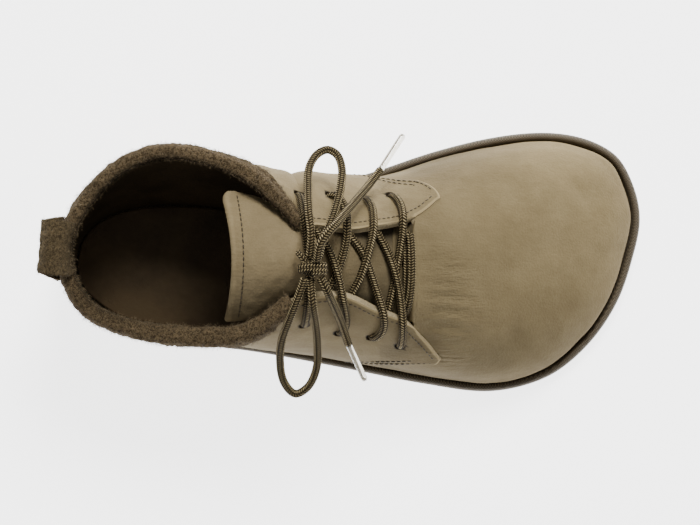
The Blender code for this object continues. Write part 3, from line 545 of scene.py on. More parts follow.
def smooth_route(points, spacing):
    """Points that far apart on a smooth curve through the route's own points."""
    rows = keyed(points)
    return resampled([between(rows, s) for s in np.linspace(0, rows[-1][0], ROUTE_POINTS)], spacing)


# Unevenness of each surface, wave by wave, and how the leather turns in at holes and cut edges.
UPPER_WAVES = ((0.00022, 0.030, 3), (0.00010, 0.011, 4))  # depth, size, seed
TONGUE_WAVES = ((0.0004, 0.022, 11), (0.00015, 0.007, 12))
ROLL_WAVES = ((0.00035, 0.007, 21), (0.00030, 0.0032, 22), (0.00020, 0.0016, 23))
STRAP_WAVES = ((0.00022, 0.004, 41), (0.00016, 0.0018, 42))
HOLE_DENT = 0.00055
HOLE_DENT_WIDTH = 0.0042
CUT_EDGE_DIP = 0.00045
CUT_EDGE_DIP_WIDTH = 0.0007
CUT_EDGE_PALE_WIDTH = 0.0013
VAMP_SWELL = 0.0009
# Painted shade in the creases and in the dents round the lace holes, for each metre that the leather is
# pushed in.
DENT_PAINTED_SHADE = 220.0

# How the lace enters a hole, ends under a flap, and is wrapped at the knot.
HOLE_RISES = (-0.0060, -0.0030, -0.0004, 0.0011)
HOLE_REACH = 0.0030
LOW_END_RUN = 0.006
LOW_END_DROP = 0.0008
KNOT_HALF = (0.0050, 0.0019, 0.0028)
KNOT_CORD = 0.0027

# Hairs of the suede: how many on the roll and on the strap, how long, and half a hair's width.
ROLL_HAIRS, ROLL_HAIR_LENGTH = 15000, 0.0011
STRAP_HAIRS, STRAP_HAIR_LENGTH = 1800, 0.0008
HALF_HAIR = 0.00007

# Directions, and the rows and steps that several functions share.
UP = np.array([0.0, 0.0, 1.0])
ABOVE_ALL = 0.2
SMALL = 0.001  # of a ring share or level
FLAP_TIP = 4
OUTSIDE, INSIDE, CUT = 0, 1, 2
ROUTE_SPACING = 0.0010
RIM_ARC = (-75, 140)  # degrees, along which the sole's bead is round

# Rows of stitches beside each quarter's front edge, and the lace hole that each crossing comes from.
SEAM_ROWS = (
    # first, last, away
    (0.10, 0.655, 0.0022),
    (0.10, 0.555, 0.0052),
    (0.725, 0.94, 0.0030),
)
HOLE_ROWS = {"lace_cross_front": 3, "lace_cross_middle": 2, "lace_cross_back": 1, "lace_top": 0}

# Soft creases of the vamp and flaps: points as shares of the sole's length and the collar's width, then the
# crease's width and depth in metres.
CREASES = (
    # points, width, depth
    (((0.118, -0.12), (0.150, -0.10), (0.185, -0.12)), 0.0022, 0.00035),
    (((0.121, -0.19), (0.155, -0.17), (0.196, -0.20)), 0.0020, 0.00040),
    (((0.120, -0.26), (0.160, -0.25), (0.204, -0.28)), 0.0020, 0.00040),
    (((0.122, -0.34), (0.158, -0.34), (0.200, -0.37)), 0.0022, 0.00035),
    (((0.126, 0.02), (0.150, 0.03), (0.178, 0.01)), 0.0024, 0.00025),
    (((0.128, -0.04), (0.160, -0.03), (0.190, -0.05)), 0.0022, 0.00025),
    (((0.116, -0.42), (0.150, -0.43), (0.186, -0.45)), 0.0016, 0.00035),
    (((0.114, -0.46), (0.148, -0.47), (0.180, -0.50)), 0.0016, 0.00035),
    (((0.114, -0.50), (0.144, -0.515), (0.172, -0.545)), 0.0016, 0.00030),
    (((0.300, 0.35), (0.330, 0.28), (0.345, 0.18)), 0.0060, 0.00030),
    (((0.240, 0.44), (0.280, 0.40), (0.320, 0.33)), 0.0060, 0.00030),
)


# The wall, for many points at once.

RINGS = np.linspace(0.0, 1.0, 3001)
HANDLES = np.array([column(ring) for ring in RINGS]).reshape(len(RINGS), 12)


def handles(ring):
    """The wall's four handles over each ring share."""
    ring = np.asarray(ring) % 1.0
    columns = [np.interp(ring, RINGS, HANDLES[:, k]) for k in range(12)]
    return np.stack(columns, axis=-1).reshape(*ring.shape, 4, 3)


def base_points(ring, level):
    """The upper's outer face without the quarters' step, at many ring shares and levels."""
    t = np.asarray(level)[..., None]
    u = 1 - t
    hooks = handles(ring)
    near, low, high, top = (hooks[..., k, :] for k in range(4))
    return u**3 * near + 3 * t * u * u * low + 3 * t * t * u * high + t**3 * top


def units(vectors):
    """Each vector at length 1."""
    return vectors / np.linalg.norm(vectors, axis=-1, keepdims=True)


def normals_at(ring, level):
    """The directions out of the wall."""
    ring, level = np.broadcast_arrays(np.asarray(ring, float), np.asarray(level, float))
    level = np.minimum(level, 1.0)
    low, high = np.maximum(level - 0.01, 0.0), np.minimum(level + 0.01, 1.0)
    around = base_points(ring + 0.002, level) - base_points(ring - 0.002, level)
    upward = base_points(ring, high) - base_points(ring, low)
    return units(np.cross(upward, around))


def wall_points(ring, level, out=0.0):
    """Points of the wall, moved out from the vamp's outer face."""
    ring, level = np.broadcast_arrays(np.asarray(ring, float), np.asarray(level, float))
    return base_points(ring, level) + np.asarray(out)[..., None] * normals_at(ring, level)


def smooth_noise(points, size, seed):
    """Soft noise from a few crossing waves, about -1 to 1."""
    chance = np.random.default_rng(seed)
    total = np.zeros(len(points))
    for _ in range(7):
        way = units(chance.normal(size=3))
        phase = chance.uniform(0, 2 * math.pi)
        total += np.sin(points @ way * 2 * math.pi / (size * chance.uniform(0.7, 1.5)) + phase)
    return total / 3.2


def hump(far, width):
    """A soft bell that is 1 where far is nothing."""
    return np.exp(-((far / width) ** 2))


def eased(value, low, high):
    """A share that goes straight from 0 at low to 1 at high."""
    return np.clip((value - low) / (high - low), 0, 1)


def uneven(points, waves):
    """How far out each point is moved by waves of noise."""
    return sum(depth * smooth_noise(points, size, seed) for depth, size, seed in waves)


def distance_to_line(points, line):
    """How far each point lies from a run of points."""
    best = np.full(len(points), np.inf)
    for a, b in zip(line, line[1:]):
        along = b - a
        share = np.clip((points - a) @ along / (along @ along), 0, 1)
        best = np.minimum(best, np.linalg.norm(points - a - share[:, None] * along, axis=1))
    return best


def crease_depth(points):
    """How far the soft creases push each point in."""
    depth = np.zeros(len(points))
    for run, width, deep in CREASES:
        corners = [np.array([a * SOLE_LENGTH, c * COLLAR_WIDTH]) for a, c in run]
        rows = tuple((float(i), *corner) for i, corner in enumerate(corners))
        line = np.array([between(rows, s) for s in np.linspace(0, len(rows) - 1, 14)])
        far = distance_to_line(points[:, :2], line)
        ends = np.min([np.linalg.norm(points[:, :2] - end, axis=1) for end in (line[0], line[-1])], axis=0)
        fade = np.clip(ends / (3 * width), 0, 1)
        depth += deep * fade * (hump(far, width) - 0.55 * hump(far - 1.9 * width, width))
    return depth


# Materials.


class Nodes:
    """A material's node tree, built by short calls."""

    def __init__(self, name):
        self.made = bpy.data.materials.new(name)
        self.made.use_nodes = True
        self.tree = self.made.node_tree
        self.shader = self.tree.nodes["Principled BSDF"]

    def add(self, kind, **settings):
        node = self.tree.nodes.new(kind)
        for name, value in settings.items():
            setattr(node, name, value)
        return node

    def link(self, source, target):
        self.tree.links.new(source, target)

    def put(self, socket, value):
        if isinstance(value, bpy.types.NodeSocket):
            self.link(value, socket)
        else:
            socket.default_value = value

    def math(self, kind, a, b=0.0):
        node = self.add("ShaderNodeMath", operation=kind)
        self.put(node.inputs[0], a)
        self.put(node.inputs[1], b)
        return node.outputs[0]

    def times(self, a, b):
        return self.math("MULTIPLY", a, b)

    def plus(self, a, b):
        return self.math("ADD", a, b)

    def mix(self, share, a, b, kind="MIX"):
        node = self.add("ShaderNodeMix", data_type="RGBA", blend_type=kind, clamp_factor=True)
        self.put(node.inputs[0], share)
        for socket, value in ((node.inputs[6], a), (node.inputs[7], b)):
            self.put(socket, (*value, 1.0) if isinstance(value, tuple) and len(value) == 3 else value)
        return node.outputs[2]

    def spread(self, value, low, high, to_low=0.0, to_high=1.0):
        node = self.add("ShaderNodeMapRange", interpolation_type="SMOOTHSTEP")
        for socket, number in zip(node.inputs, (value, low, high, to_low, to_high)):
            self.put(socket, number)
        return node.outputs[0]

    def place(self, stretch=(1.0, 1.0, 1.0), turn=(0.0, 0.0, 0.0)):
        where = self.add("ShaderNodeTexCoord").outputs["Object"]
        node = self.add("ShaderNodeMapping")
        node.inputs["Scale"].default_value = stretch
        node.inputs["Rotation"].default_value = turn
        self.link(where, node.inputs["Vector"])
        return node.outputs[0]

    def noise(self, where, scale, detail=3.0, rough=0.5):
        node = self.add("ShaderNodeTexNoise")
        self.link(where, node.inputs["Vector"])
        node.inputs["Scale"].default_value = scale
        node.inputs["Detail"].default_value = detail
        node.inputs["Roughness"].default_value = rough
        return node.outputs[0]

    def cells(self, where, scale):
        node = self.add("ShaderNodeTexVoronoi", feature="F1")
        self.link(where, node.inputs["Vector"])
        node.inputs["Scale"].default_value = scale
        return node.outputs["Distance"]

    def tone(self, name):
        return self.add("ShaderNodeAttribute", attribute_name=name).outputs["Fac"]

    def bump(self, *layers):
        """Heights with how deep each is in metres, one on the other."""
        last = None
        for height, deep in layers:
            node = self.add("ShaderNodeBump")
            node.inputs["Strength"].default_value = 1.0
            node.inputs["Distance"].default_value = deep
            self.link(height, node.inputs["Height"])
            if last is not None:
                self.link(last, node.inputs["Normal"])
            last = node.outputs[0]
        self.link(last, self.shader.inputs["Normal"])

    def finish(self, colour, roughness, sheen=0.0, specular=0.3, coat=0.0):
        self.put(self.shader.inputs["Base Color"], (*colour, 1.0) if isinstance(colour, tuple) else colour)
        self.put(self.shader.inputs["Roughness"], roughness)
        self.shader.inputs["Specular IOR Level"].default_value = specular
        self.shader.inputs["Sheen Weight"].default_value = sheen
        self.shader.inputs["Sheen Roughness"].default_value = 0.5
        self.shader.inputs["Sheen Tint"].default_value = (0.75, 0.62, 0.42, 1.0)
        self.shader.inputs["Coat Weight"].default_value = coat
        return self.made


def nubuck(name, light, dark):
    """Soft brushed leather: cloudy mottling, a fine nap, faint streaks and pores."""
    n = Nodes(name)
    here = n.place()
    long = n.place((0.25, 1.0, 1.0), (0.0, 0.0, 0.12))
    cloud = n.noise(here, 38.0, 4.0, 0.6)
    patch = n.noise(here, 140.0, 3.0, 0.6)
    nap = n.noise(here, 1500.0, 2.0, 0.6)
    streak = n.noise(long, 420.0, 3.0, 0.55)
    mixed = n.plus(n.times(cloud, 0.55), n.times(patch, 0.30))
    mixed = n.plus(mixed, n.times(streak, 0.15))
    colour = n.mix(n.spread(mixed, 0.26, 0.74), dark, light)
    colour = n.mix(n.times(n.spread(nap, 0.30, 0.75), 0.22), colour, tuple(0.72 * c for c in dark))
    # The mesh's tone share multiplies the colour: painted light and shade, with a little random tone.
    shade = n.add("ShaderNodeCombineColor")
    tone = n.tone("tone")
    for socket in shade.inputs[:3]:
        n.link(tone, socket)
    colour = n.mix(1.0, colour, shade.outputs[0], "MULTIPLY")
    edge = n.spread(n.plus(n.tone("edge"), n.times(patch, 0.35)), 0.45, 0.95)
    colour = n.mix(n.times(edge, 0.8), colour, tuple(1.40 * c for c in light))
    pores = n.cells(here, 900.0)
    fine = n.noise(n.place((0.13, 1.0, 0.6), (0.0, 0.0, -0.06)), 760.0, 3.0, 0.55)
    wrinkle = n.times(fine, n.tone("wrinkle"))
    n.bump(
        (n.noise(here, 90.0, 3.0), 0.0005),
        (streak, 0.00010),
        (wrinkle, 0.0009),
        (pores, 0.00010),
        (nap, 0.00010),
    )
    return n.finish(colour, n.spread(nap, 0.2, 0.8, 0.78, 0.95), sheen=0.05, specular=0.18)


def suede(name, light, dark):
    """Rough split leather: clumped fibres with deep hollows between them."""
    n = Nodes(name)
    here = n.place()
    clump = n.noise(here, 850.0, 4.0, 0.65)
    fibre = n.noise(here, 2200.0, 3.0, 0.7)
    cloud = n.noise(here, 80.0, 2.0)
    mixed = n.plus(n.times(clump, 0.45), n.times(fibre, 0.55))
    # Darker where the fibres lie low: painted shade in the hollows between them.
    colour = n.mix(n.spread(mixed, 0.40, 0.64), dark, light)
    colour = n.mix(n.times(n.spread(cloud, 0.35, 0.7), 0.25), colour, dark)
    # The mesh's shade share darkens the colour: painted shade.
    colour = n.mix(n.tone("shade"), colour, tuple(0.5 * c for c in dark))
    n.bump((clump, 0.0007), (fibre, 0.0006))
    return n.finish(colour, 0.95, sheen=0.06, specular=0.12)


def lining_leather(name, light, dark):
    """Smooth dark lining with a faint grain."""
    n = Nodes(name)
    here = n.place()
    cloud = n.noise(here, 45.0, 3.0)
    grain = n.cells(here, 1100.0)
    colour = n.mix(n.spread(cloud, 0.3, 0.7), dark, light)
    n.bump((grain, 0.00010), (n.noise(here, 220.0), 0.0002))
    return n.finish(colour, 0.70, specular=0.25)


def fibrous(name, colour, dim, scale, detail, rough, deep, roughness, specular):
    """Cut leather or thread: fine fibres, with painted shade darker between them."""
    n = Nodes(name)
    fibre = n.noise(n.place(), scale, detail, rough)
    mixed = n.mix(n.spread(fibre, 0.3, 0.7), tuple(dim * c for c in colour), colour)
    n.bump((fibre, deep))
    return n.finish(mixed, roughness, specular=specular)


def thread(name, colour):
    return fibrous(name, colour, 0.6, 2500.0, 2.0, 0.5, 0.0001, 0.6, 0.3)


def knurled(name, light, dark, pitch, turn, deep):
    """Rubber with crossed fine ribs that leave small diamonds."""
    n = Nodes(name)
    where = n.add("ShaderNodeTexCoord").outputs["Object"]
    split = n.add("ShaderNodeSeparateXYZ")
    n.link(where, split.inputs[0])
    x, y, z = split.outputs
    rise = n.plus(y, z)
    rate = 2 * math.pi / pitch
    one = n.math("SINE", n.plus(n.times(x, rate), n.times(rise, rate * turn)))
    two = n.math("SINE", n.math("SUBTRACT", n.times(x, rate), n.times(rise, rate * turn)))
    knobs = n.plus(n.times(n.plus(one, two), 0.25), 0.5)
    cloud = n.noise(n.place(), 70.0, 3.0)
    grain = n.noise(n.place(), 1600.0, 2.0)
    # Darker in the ribs' grooves: painted shade.
    colour = n.mix(n.spread(knobs, 0.25, 0.80), dark, light)
    colour = n.mix(n.times(n.spread(cloud, 0.35, 0.7), 0.30), colour, dark)
    n.bump((knobs, deep), (grain, 0.00006))
    return n.finish(colour, 0.62, specular=0.35)


def braided(name, dark, cream):
    """A round braid: rows of cream flecks on a dark cord, from the cord's own length and turn."""
    n = Nodes(name)
    place = n.add("ShaderNodeUVMap", uv_map="cord").outputs[0]
    split = n.add("ShaderNodeSeparateXYZ")
    n.link(place, split.inputs[0])
    along, turn = split.outputs[0], split.outputs[1]
    wale = n.times(turn, 6.0)
    beside_wale = n.math("SUBTRACT", n.math("FRACT", wale), 0.5)
    which = n.math("FLOOR", n.math("MODULO", wale, 2.0))
    lean = n.times(n.math("SUBTRACT", n.times(which, 2.0), 1.0), beside_wale)
    run = n.plus(n.math("DIVIDE", along, 0.00115), n.times(lean, 0.8))
    beat = n.math("SINE", n.times(run, 2 * math.pi))
    bar = n.spread(n.math("ABSOLUTE", beside_wale), 0.5, 0.20)
    strand = n.times(n.spread(beat, -0.7, 0.7), bar)
    fleck = n.times(n.times(n.spread(beat, 0.20, 0.85), bar), n.spread(which, 0.0, 1.0, 0.45, 1.0))
    noise = n.noise(n.place(), 900.0, 2.0)
    # Darker between the strands: painted shade; the cream flecks are the cord's own colour.
    colour = n.mix(strand, tuple(0.35 * c for c in dark), dark)
    colour = n.mix(fleck, colour, n.mix(n.spread(noise, 0.3, 0.7), tuple(0.6 * c for c in cream), cream))
    n.bump((strand, 0.00050), (noise, 0.00008))
    return n.finish(colour, 0.82, specular=0.10)


def clear_plastic(name):
    """The see-through plastic of the lace's tips."""
    n = Nodes(name)
    cloud = n.noise(n.place(), 500.0, 2.0)
    colour = n.mix(n.spread(cloud, 0.3, 0.7), (0.78, 0.74, 0.62), (0.92, 0.90, 0.82))
    n.shader.inputs["Transmission Weight"].default_value = 0.80
    n.shader.inputs["IOR"].default_value = 1.42
    return n.finish(colour, 0.08, specular=0.6, coat=0.5)


NUBUCK = nubuck("nubuck_outside", (0.228, 0.176, 0.090), (0.166, 0.125, 0.061))
TONGUE_SKIN = nubuck("nubuck_tongue", (0.215, 0.166, 0.090), (0.155, 0.117, 0.059))
LINING = lining_leather("lining_inside", (0.075, 0.052, 0.026), (0.042, 0.029, 0.014))
FOOT_BED = lining_leather("lining_bed", (0.072, 0.048, 0.022), (0.044, 0.028, 0.013))
RAW = fibrous("leather_edge", (0.330, 0.265, 0.155), 0.66, 1300.0, 3.0, 0.7, 0.0003, 0.95, 0.15)
SUEDE = suede("suede_roll", (0.190, 0.137, 0.074), (0.026, 0.017, 0.008))
SUEDE_STRAP = suede("suede_strap", (0.150, 0.110, 0.057), (0.034, 0.024, 0.012))
HAIR = thread("suede_hair", (0.190, 0.142, 0.078))
RUBBER = knurled("rubber_rim", (0.132, 0.104, 0.064), (0.052, 0.039, 0.023), 0.0013, 1.0, 0.00016)
TREAD = knurled("rubber_tread", (0.150, 0.112, 0.100), (0.062, 0.044, 0.039), 0.0026, 0.62, 0.00055)
BRAID = braided("braid_cord", (0.046, 0.032, 0.012), (0.520, 0.410, 0.220))
SEAM_THREAD = thread("seam_thread", (0.050, 0.036, 0.018))
SOLE_THREAD = thread("sole_thread", (0.014, 0.010, 0.008))
PLASTIC = clear_plastic("tip_plastic")


# Making meshes.


def new_piece(name, points, faces, finishes, groups=None, smooth=True):
    """A mesh object with its materials, riding on the shoe. groups gives each face's material."""
    mesh = bpy.data.meshes.new(name)
    mesh.from_pydata([tuple(map(float, p)) for p in points], [], [tuple(map(int, f)) for f in faces])
    for finish in finishes:
        mesh.materials.append(finish)
    if groups is not None:
        mesh.polygons.foreach_set("material_index", np.asarray(groups, np.int32))
    if smooth:
        mesh.shade_smooth()
    mesh.update()
    made = bpy.data.objects.new(name, mesh)
    bpy.context.scene.collection.objects.link(made)
    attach(made, "root")
    return made


def facing_out(made):
    """Turns all faces outwards."""
    work = bmesh.new()
    work.from_mesh(made.data)
    bmesh.ops.recalc_face_normals(work, faces=work.faces)
    work.to_mesh(made.data)
    work.free()


def set_shares(made, **shares):
    """Shares kept on a mesh's points, which its material reads by name."""
    for name, values in shares.items():
        layer = made.data.attributes.new(name, "FLOAT", "POINT")
        layer.data.foreach_set("value", np.asarray(values, np.float32))


def tree_of(made):
    """The mesh as a tree that rays can be cast on."""
    corners = [vertex.co.copy() for vertex in made.data.vertices]
    return BVHTree.FromPolygons(corners, [tuple(polygon.vertices) for polygon in made.data.polygons])


def height_at(trees, x, y):
    """How high the topmost of the meshes lies at x, y, or -1 where there is none."""
    hits = [tree.ray_cast(Vector((x, y, ABOVE_ALL)), Vector((0, 0, -1)))[0] for tree in trees]
    return max((hit.z for hit in hits if hit is not None), default=-1.0)


def tube(name, line, radius, sides, finish):
    """A round cord along a run of points, with its length and turn as a map for the braid."""
    ways = units(np.gradient(line, axis=0))
    side = unit(np.cross(ways[0], (0.3, 0.2, 1.0)))
    turns = np.linspace(0, 2 * math.pi, sides, endpoint=False)[:, None]
    points = []
    for point, size, way in zip(line, np.broadcast_to(radius, len(line)), ways):
        side = unit(side - way * (side @ way))
        points.append(point + size * (np.cos(turns) * side + np.sin(turns) * np.cross(way, side)))
    count = len(line)
    caps = [tuple(range(sides - 1, -1, -1)), tuple(range((count - 1) * sides, count * sides))]
    made = new_piece(name, np.concatenate(points), strip_faces(count, sides) + caps, [finish])
    run = run_along(line)
    values = np.zeros((len(made.data.loops), 2), np.float32)
    for polygon in made.data.polygons:
        shares = [corner % sides / sides for corner in polygon.vertices]
        over_seam = max(shares) - min(shares) > 0.5
        for loop, corner, share in zip(polygon.loop_indices, polygon.vertices, shares):
            values[loop] = (run[corner // sides], share + 1.0 if over_seam and share < 0.5 else share)
    made.data.uv_layers.new(name="cord").data.foreach_set("uv", values.ravel())
    return made


def strip_faces(rows, columns, closed=True):
    """The faces between the rows of a grid of points, which may close on itself sideways."""
    faces = []
    for i in range(rows - 1):
        for j in range(columns if closed else columns - 1):
            k = (j + 1) % columns
            faces.append((i * columns + j, i * columns + k, (i + 1) * columns + k, (i + 1) * columns + j))
    return faces


def two_sides(rows, columns, closed=False):
    """A sheet's faces, then those of its other side, whose points follow the first side's."""
    first = strip_faces(rows, columns, closed)
    return first + [tuple(rows * columns + i for i in reversed(face)) for face in first]


def sheet_rims(rows, columns):
    """The faces that close a sheet at its first row, at its last row and along its sides."""
    under = rows * columns
    ends = []
    for start in (0, under - columns):
        ends.append([(j, j + 1, under + j + 1, under + j) for j in range(start, start + columns - 1)])
    sides = []
    for i in range(0, under - columns, columns):
        for j in (i, i + columns - 1):
            sides.append((j, j + columns, under + j + columns, under + j))
    return *ends, sides


def stitches(name, runs, finish, length=0.0021, gap=0.0005, thick=0.00055, sink=0.30):
    """Short thread stitches along runs of points with the directions that point out of the leather."""
    chance = np.random.default_rng(5)
    shares = (-0.5, -0.40, -0.15, 0.15, 0.40, 0.5)
    sizes = (0.25, 0.75, 1.0, 1.0, 0.75, 0.25)
    sides = 6
    turns = np.linspace(0, 2 * math.pi, sides, endpoint=False)
    last = (len(shares) - 1) * sides
    faces = strip_faces(len(shares), sides) + [tuple(range(sides))[::-1], tuple(range(last, last + sides))]
    all_points, all_faces = [], []
    for points, outs in runs:
        run = run_along(points)
        for centre in np.arange(length / 2, run[-1] - length / 2, length + gap):
            a, b = (read_run(centre + end * length / 2, run, points) for end in (-1, 1))
            long = np.linalg.norm(b - a)
            way = (b - a) / long
            out = read_run(centre, run, outs)
            out = units(out - way * (out @ way))
            side = np.cross(out, way)
            lean = chance.normal(0, 0.05)
            middle = (a + b) / 2 + out * thick * (0.5 - sink)
            base = len(all_points)
            for share, size in zip(shares, sizes):
                hub = middle + way * share * long + side * lean * share * long
                hub = hub - out * thick * 0.45 * (2 * abs(share)) ** 3
                for turn in turns:
                    ring = math.cos(turn) * side + math.sin(turn) * out
                    all_points.append(hub + ring * size * thick / 2)
            all_faces += [tuple(base + i for i in face) for face in faces]
    return new_piece(name, all_points, all_faces, [finish])


# The sole.


def sole_plate(name, profile, stations, finish, bottom_finish, bottom_rows=0):
    """A plate of the sole's outline through a profile of insets and heights, closed below and on top."""
    points = []
    for inset, height in profile:
        for ring in stations:
            (x, y), _ = edge_at(ring, inset)
            points.append((x, y, height + spring(x)))
    size, rows = len(stations), len(profile)
    faces = strip_faces(rows, size)
    groups = [int(face[0] // size < bottom_rows) for face in faces]
    for start, group in ((0, 1), ((rows - 1) * size, 0)):
        for i in range(size // 2):
            corners = (start + i, start + i + 1, start + size - i - 1, start + (size - i) % size)
            face = tuple(dict.fromkeys(corners))
            if len(face) > 2:
                faces.append(face)
                groups.append(group)
    made = new_piece(name, points, faces, [finish, bottom_finish], groups)
    facing_out(made)
    return made


def even_stations(count):
    """Ring shares evenly spaced along the sole's outline."""
    run = run_along(EDGE[:2].T)
    return np.interp(np.linspace(0, 1, count, endpoint=False), run / run[-1], EDGE_SHARE)


def dress_sole():
    inner, outer = STITCH_INSET + STITCH_WIDTH / 2, STITCH_INSET - STITCH_WIDTH / 2
    lip = 0.00005
    profile = [
        (inner + 0.0004, 0.0),
        (inner, lip),
        (inner - 0.25 * STITCH_WIDTH, STITCH_DEPTH),
        (outer + 0.25 * STITCH_WIDTH, STITCH_DEPTH),
        (outer, lip),
        (outer - 0.0003, 0.0),
    ]
    bottom_rows = len(profile)
    half = 0.5 * RIM_HEIGHT
    for turn in np.radians(np.linspace(*RIM_ARC, 20)):
        profile.append((0.5 * RIM_WIDTH * (1 - math.cos(turn)), half + half * math.sin(turn)))
    profile.append((RIM_WIDTH, 0.62 * RIM_HEIGHT))
    profile.append((RIM_WIDTH + 0.12 * RIM_GROOVE, SOLE_THICKNESS))
    stations = even_stations(400)
    sole = sole_plate("sole_rubber", profile, stations, RUBBER, TREAD, bottom_rows)
    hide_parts("outsole")
    places = [edge_at(ring, STITCH_INSET)[0] for ring in (*stations, 1.0)]
    points = [(x, y, spring(x) + 0.55 * STITCH_DEPTH) for x, y in places]
    downward = [(0.0, 0.0, -1.0)] * len(points)
    line = stitches("sole_stitches", [(points, downward)], SOLE_THREAD, 0.0034, 0.0010, 0.0009)
    inset = RIM_WIDTH + RIM_GROOVE + WALL + 2 * CLEAR
    bottom = SOLE_THICKNESS + CLEAR
    edge = 0.3 * INSOLE_THICKNESS
    bed = (
        (inset, bottom),
        (inset, bottom + INSOLE_THICKNESS - edge),
        (inset + 0.3 * edge, bottom + INSOLE_THICKNESS - 0.3 * edge),
        (inset + edge, bottom + INSOLE_THICKNESS),
    )
    insole = sole_plate("foot_bed", bed, even_stations(260), FOOT_BED, FOOT_BED)
    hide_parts("insole")


# The upper.


def fine_columns():
    """The grid's columns: each one's ring share, and whether it lies on a quarter."""
    inner, outer = SEAM_INNER[-1][1], SEAM_OUTER[-1][1]
    corner_in, corner_out = COLLAR[-1][0], OUTER_FLAP_EDGE[-1][0]
    gathered = [1 - (1 - i / FINE_FLAP) ** 1.5 for i in range(FINE_FLAP + 1)]
    columns = [(ring, True) for ring in collar_stations(FINE_HEEL)[:-1]]
    columns += [(corner_in + (inner - SEAM_GAP - corner_in) * share, True) for share in gathered]
    columns += [(inner + (outer - inner) * i / FINE_VAMP, False) for i in range(FINE_VAMP + 1)]
    columns += [(corner_out - (corner_out - outer - SEAM_GAP) * share, True) for share in gathered[:0:-1]]
    return columns


def hole_places():
    """Each lace hole's side, its point on the quarter and the direction out of it."""
    places = []
    for side, holes, ring in (("inner", HOLES_INNER, 0.23), ("outer", HOLES_OUTER, 0.77)):
        for along, across in holes:
            places.append((side, *over_wall(along * SOLE_LENGTH, across * COLLAR_WIDTH, ring)))
    return places


HOLE_PLACES = hole_places()


def seam_part(seam, row):
    """The seam's rows before or after the flap's tip, so that the tip stays sharp."""
    return seam[: FLAP_TIP + 1] if row <= seam[FLAP_TIP][0] else seam[FLAP_TIP:]


def seam_line(seam, first, last):
    """Ring shares and levels along a quarter's front edge."""
    return np.array([between(seam_part(seam, last), row) for row in np.linspace(first, last, 160)])


def beside(line, away, heelward):
    """A line on the quarter that far from a line of ring shares and levels, towards its heel side."""
    ring, level = line[:, 0] % 1.0, line[:, 1]
    low = np.minimum(level, 1 - SMALL)
    point = base_points(ring, level)
    by_ring = (base_points(ring + SMALL, level) - point) / SMALL
    by_level = (base_points(ring, low + SMALL) - base_points(ring, low)) / SMALL
    across = units(np.cross(normals_at(ring, level), units(np.gradient(point, axis=0))))
    toward = np.sign(np.einsum("ij,ij->i", across, heelward * by_ring))
    toward[toward == 0] = 1
    if abs(toward.mean()) > 0.9:
        toward[:] = np.sign(np.median(toward))
    shift = []
    for ways, goal in zip(np.stack([by_ring, by_level], axis=2), across * toward[:, None] * away):
        shift.append(np.linalg.lstsq(ways, goal, rcond=None)[0])
    return np.stack([ring, level], axis=1) + shift


def on_quarter(line):
    """The quarter's points along a line of ring shares and levels, and the directions out of it."""
    ring, level = line[:, 0], line[:, 1]
    return wall_points(ring, level, QUARTER_STEP), normals_at(ring, level)


def under_edge(first, last, drop):
    """A line on the quarter that far below its top edge, and the directions out of it."""
    rings = np.linspace(first, last, 200)
    points = np.array([wall_drop(ring, drop, QUARTER_STEP) for ring in rings])
    return points, np.array([wall_normal(ring, 1.0 - drop / 0.08) for ring in rings])


def pointed_shift(ring, row):
    """Moves a grid place so that one column on each side follows the quarters' front edge."""
    for seam in (SEAM_INNER, SEAM_OUTER):
        corner = seam[-1][1]
        weight = max(0.0, 1.0 - abs(ring - corner) / SEAM_BLEND)
        if weight:
            at_ring, at_level = between(seam_part(seam, row), row)
            smooth = SEAM_EASE * weight * weight * (3 - 2 * weight) + (1 - SEAM_EASE) * weight
            return ring + smooth * (at_ring - corner), row + smooth * (at_level - row)
    return ring, row


def painted_leather_shading(points):
    """How light the brushed leather is painted at each point: painted light paler at the toe, painted shade
    darker outwards, by the laces and on the inner forefoot near the sole, a little lighter low on the wall,
    and a little random tone.
    """
    x, y, z = points.T / np.array([[SOLE_LENGTH], [COLLAR_WIDTH], [INSTEP_HEIGHT]])
    # Painted light at the toe, then painted shade where the leather turns away from the light.
    tone = 1.0 + 0.16 * eased(x, 0.10, 0.35) * np.clip(0.5 + 0.9 * y, 0, 1)
    tone -= 0.34 * np.clip(-y - 0.12, 0, 1)
    tone -= 0.16 * hump(x - 0.12, 0.11) * (x > 0.05)
    tone -= 0.20 * eased(-y, 0.25, 0.55) * eased(-x, -0.12, -0.02)
    tone -= 0.24 * eased(-x, -0.34, -0.22) * eased(y, 0.44, 0.64) * (x > 0.1)
    # A little lighter low on the wall, then a little random tone.
    tone += 0.08 * hump(z - 0.10, 0.05)
    return tone + 0.04 * smooth_noise(points, 0.045, 8)


def leather_wrinkle(points):
    """Where the vamp is finely wrinkled: ahead of the laces and by the outer flap's tip."""
    x, y = points[:, 0] / SOLE_LENGTH, points[:, 1] / COLLAR_WIDTH
    wrinkle = hump(x - 0.175, 0.055) * hump(y + 0.30, 0.26)
    wrinkle += 0.5 * hump(x - 0.15, 0.05) * hump(y - 0.02, 0.16)
    wrinkle += 0.7 * hump(x - 0.165, 0.035) * hump(y + 0.52, 0.10)
    return np.clip(wrinkle, 0, 1) * (x > 0.07)


def to_cut_edge(base):
    """How far the flaps' points lie from the nearest cut edge; 1 elsewhere."""
    far = np.ones(base.shape[:2])
    seam_in = FINE_HEEL + FINE_FLAP
    seam_out = seam_in + FINE_VAMP + 2
    for seam, flap in ((seam_in, slice(FINE_HEEL, seam_in + 1)), (seam_out, slice(seam_out, None))):
        side = base[:, flap]
        to_top = np.linalg.norm(side - side[-1], axis=2)
        far[:, flap] = np.minimum(to_top, np.linalg.norm(side - base[:, seam, None], axis=2))
    return far.ravel()


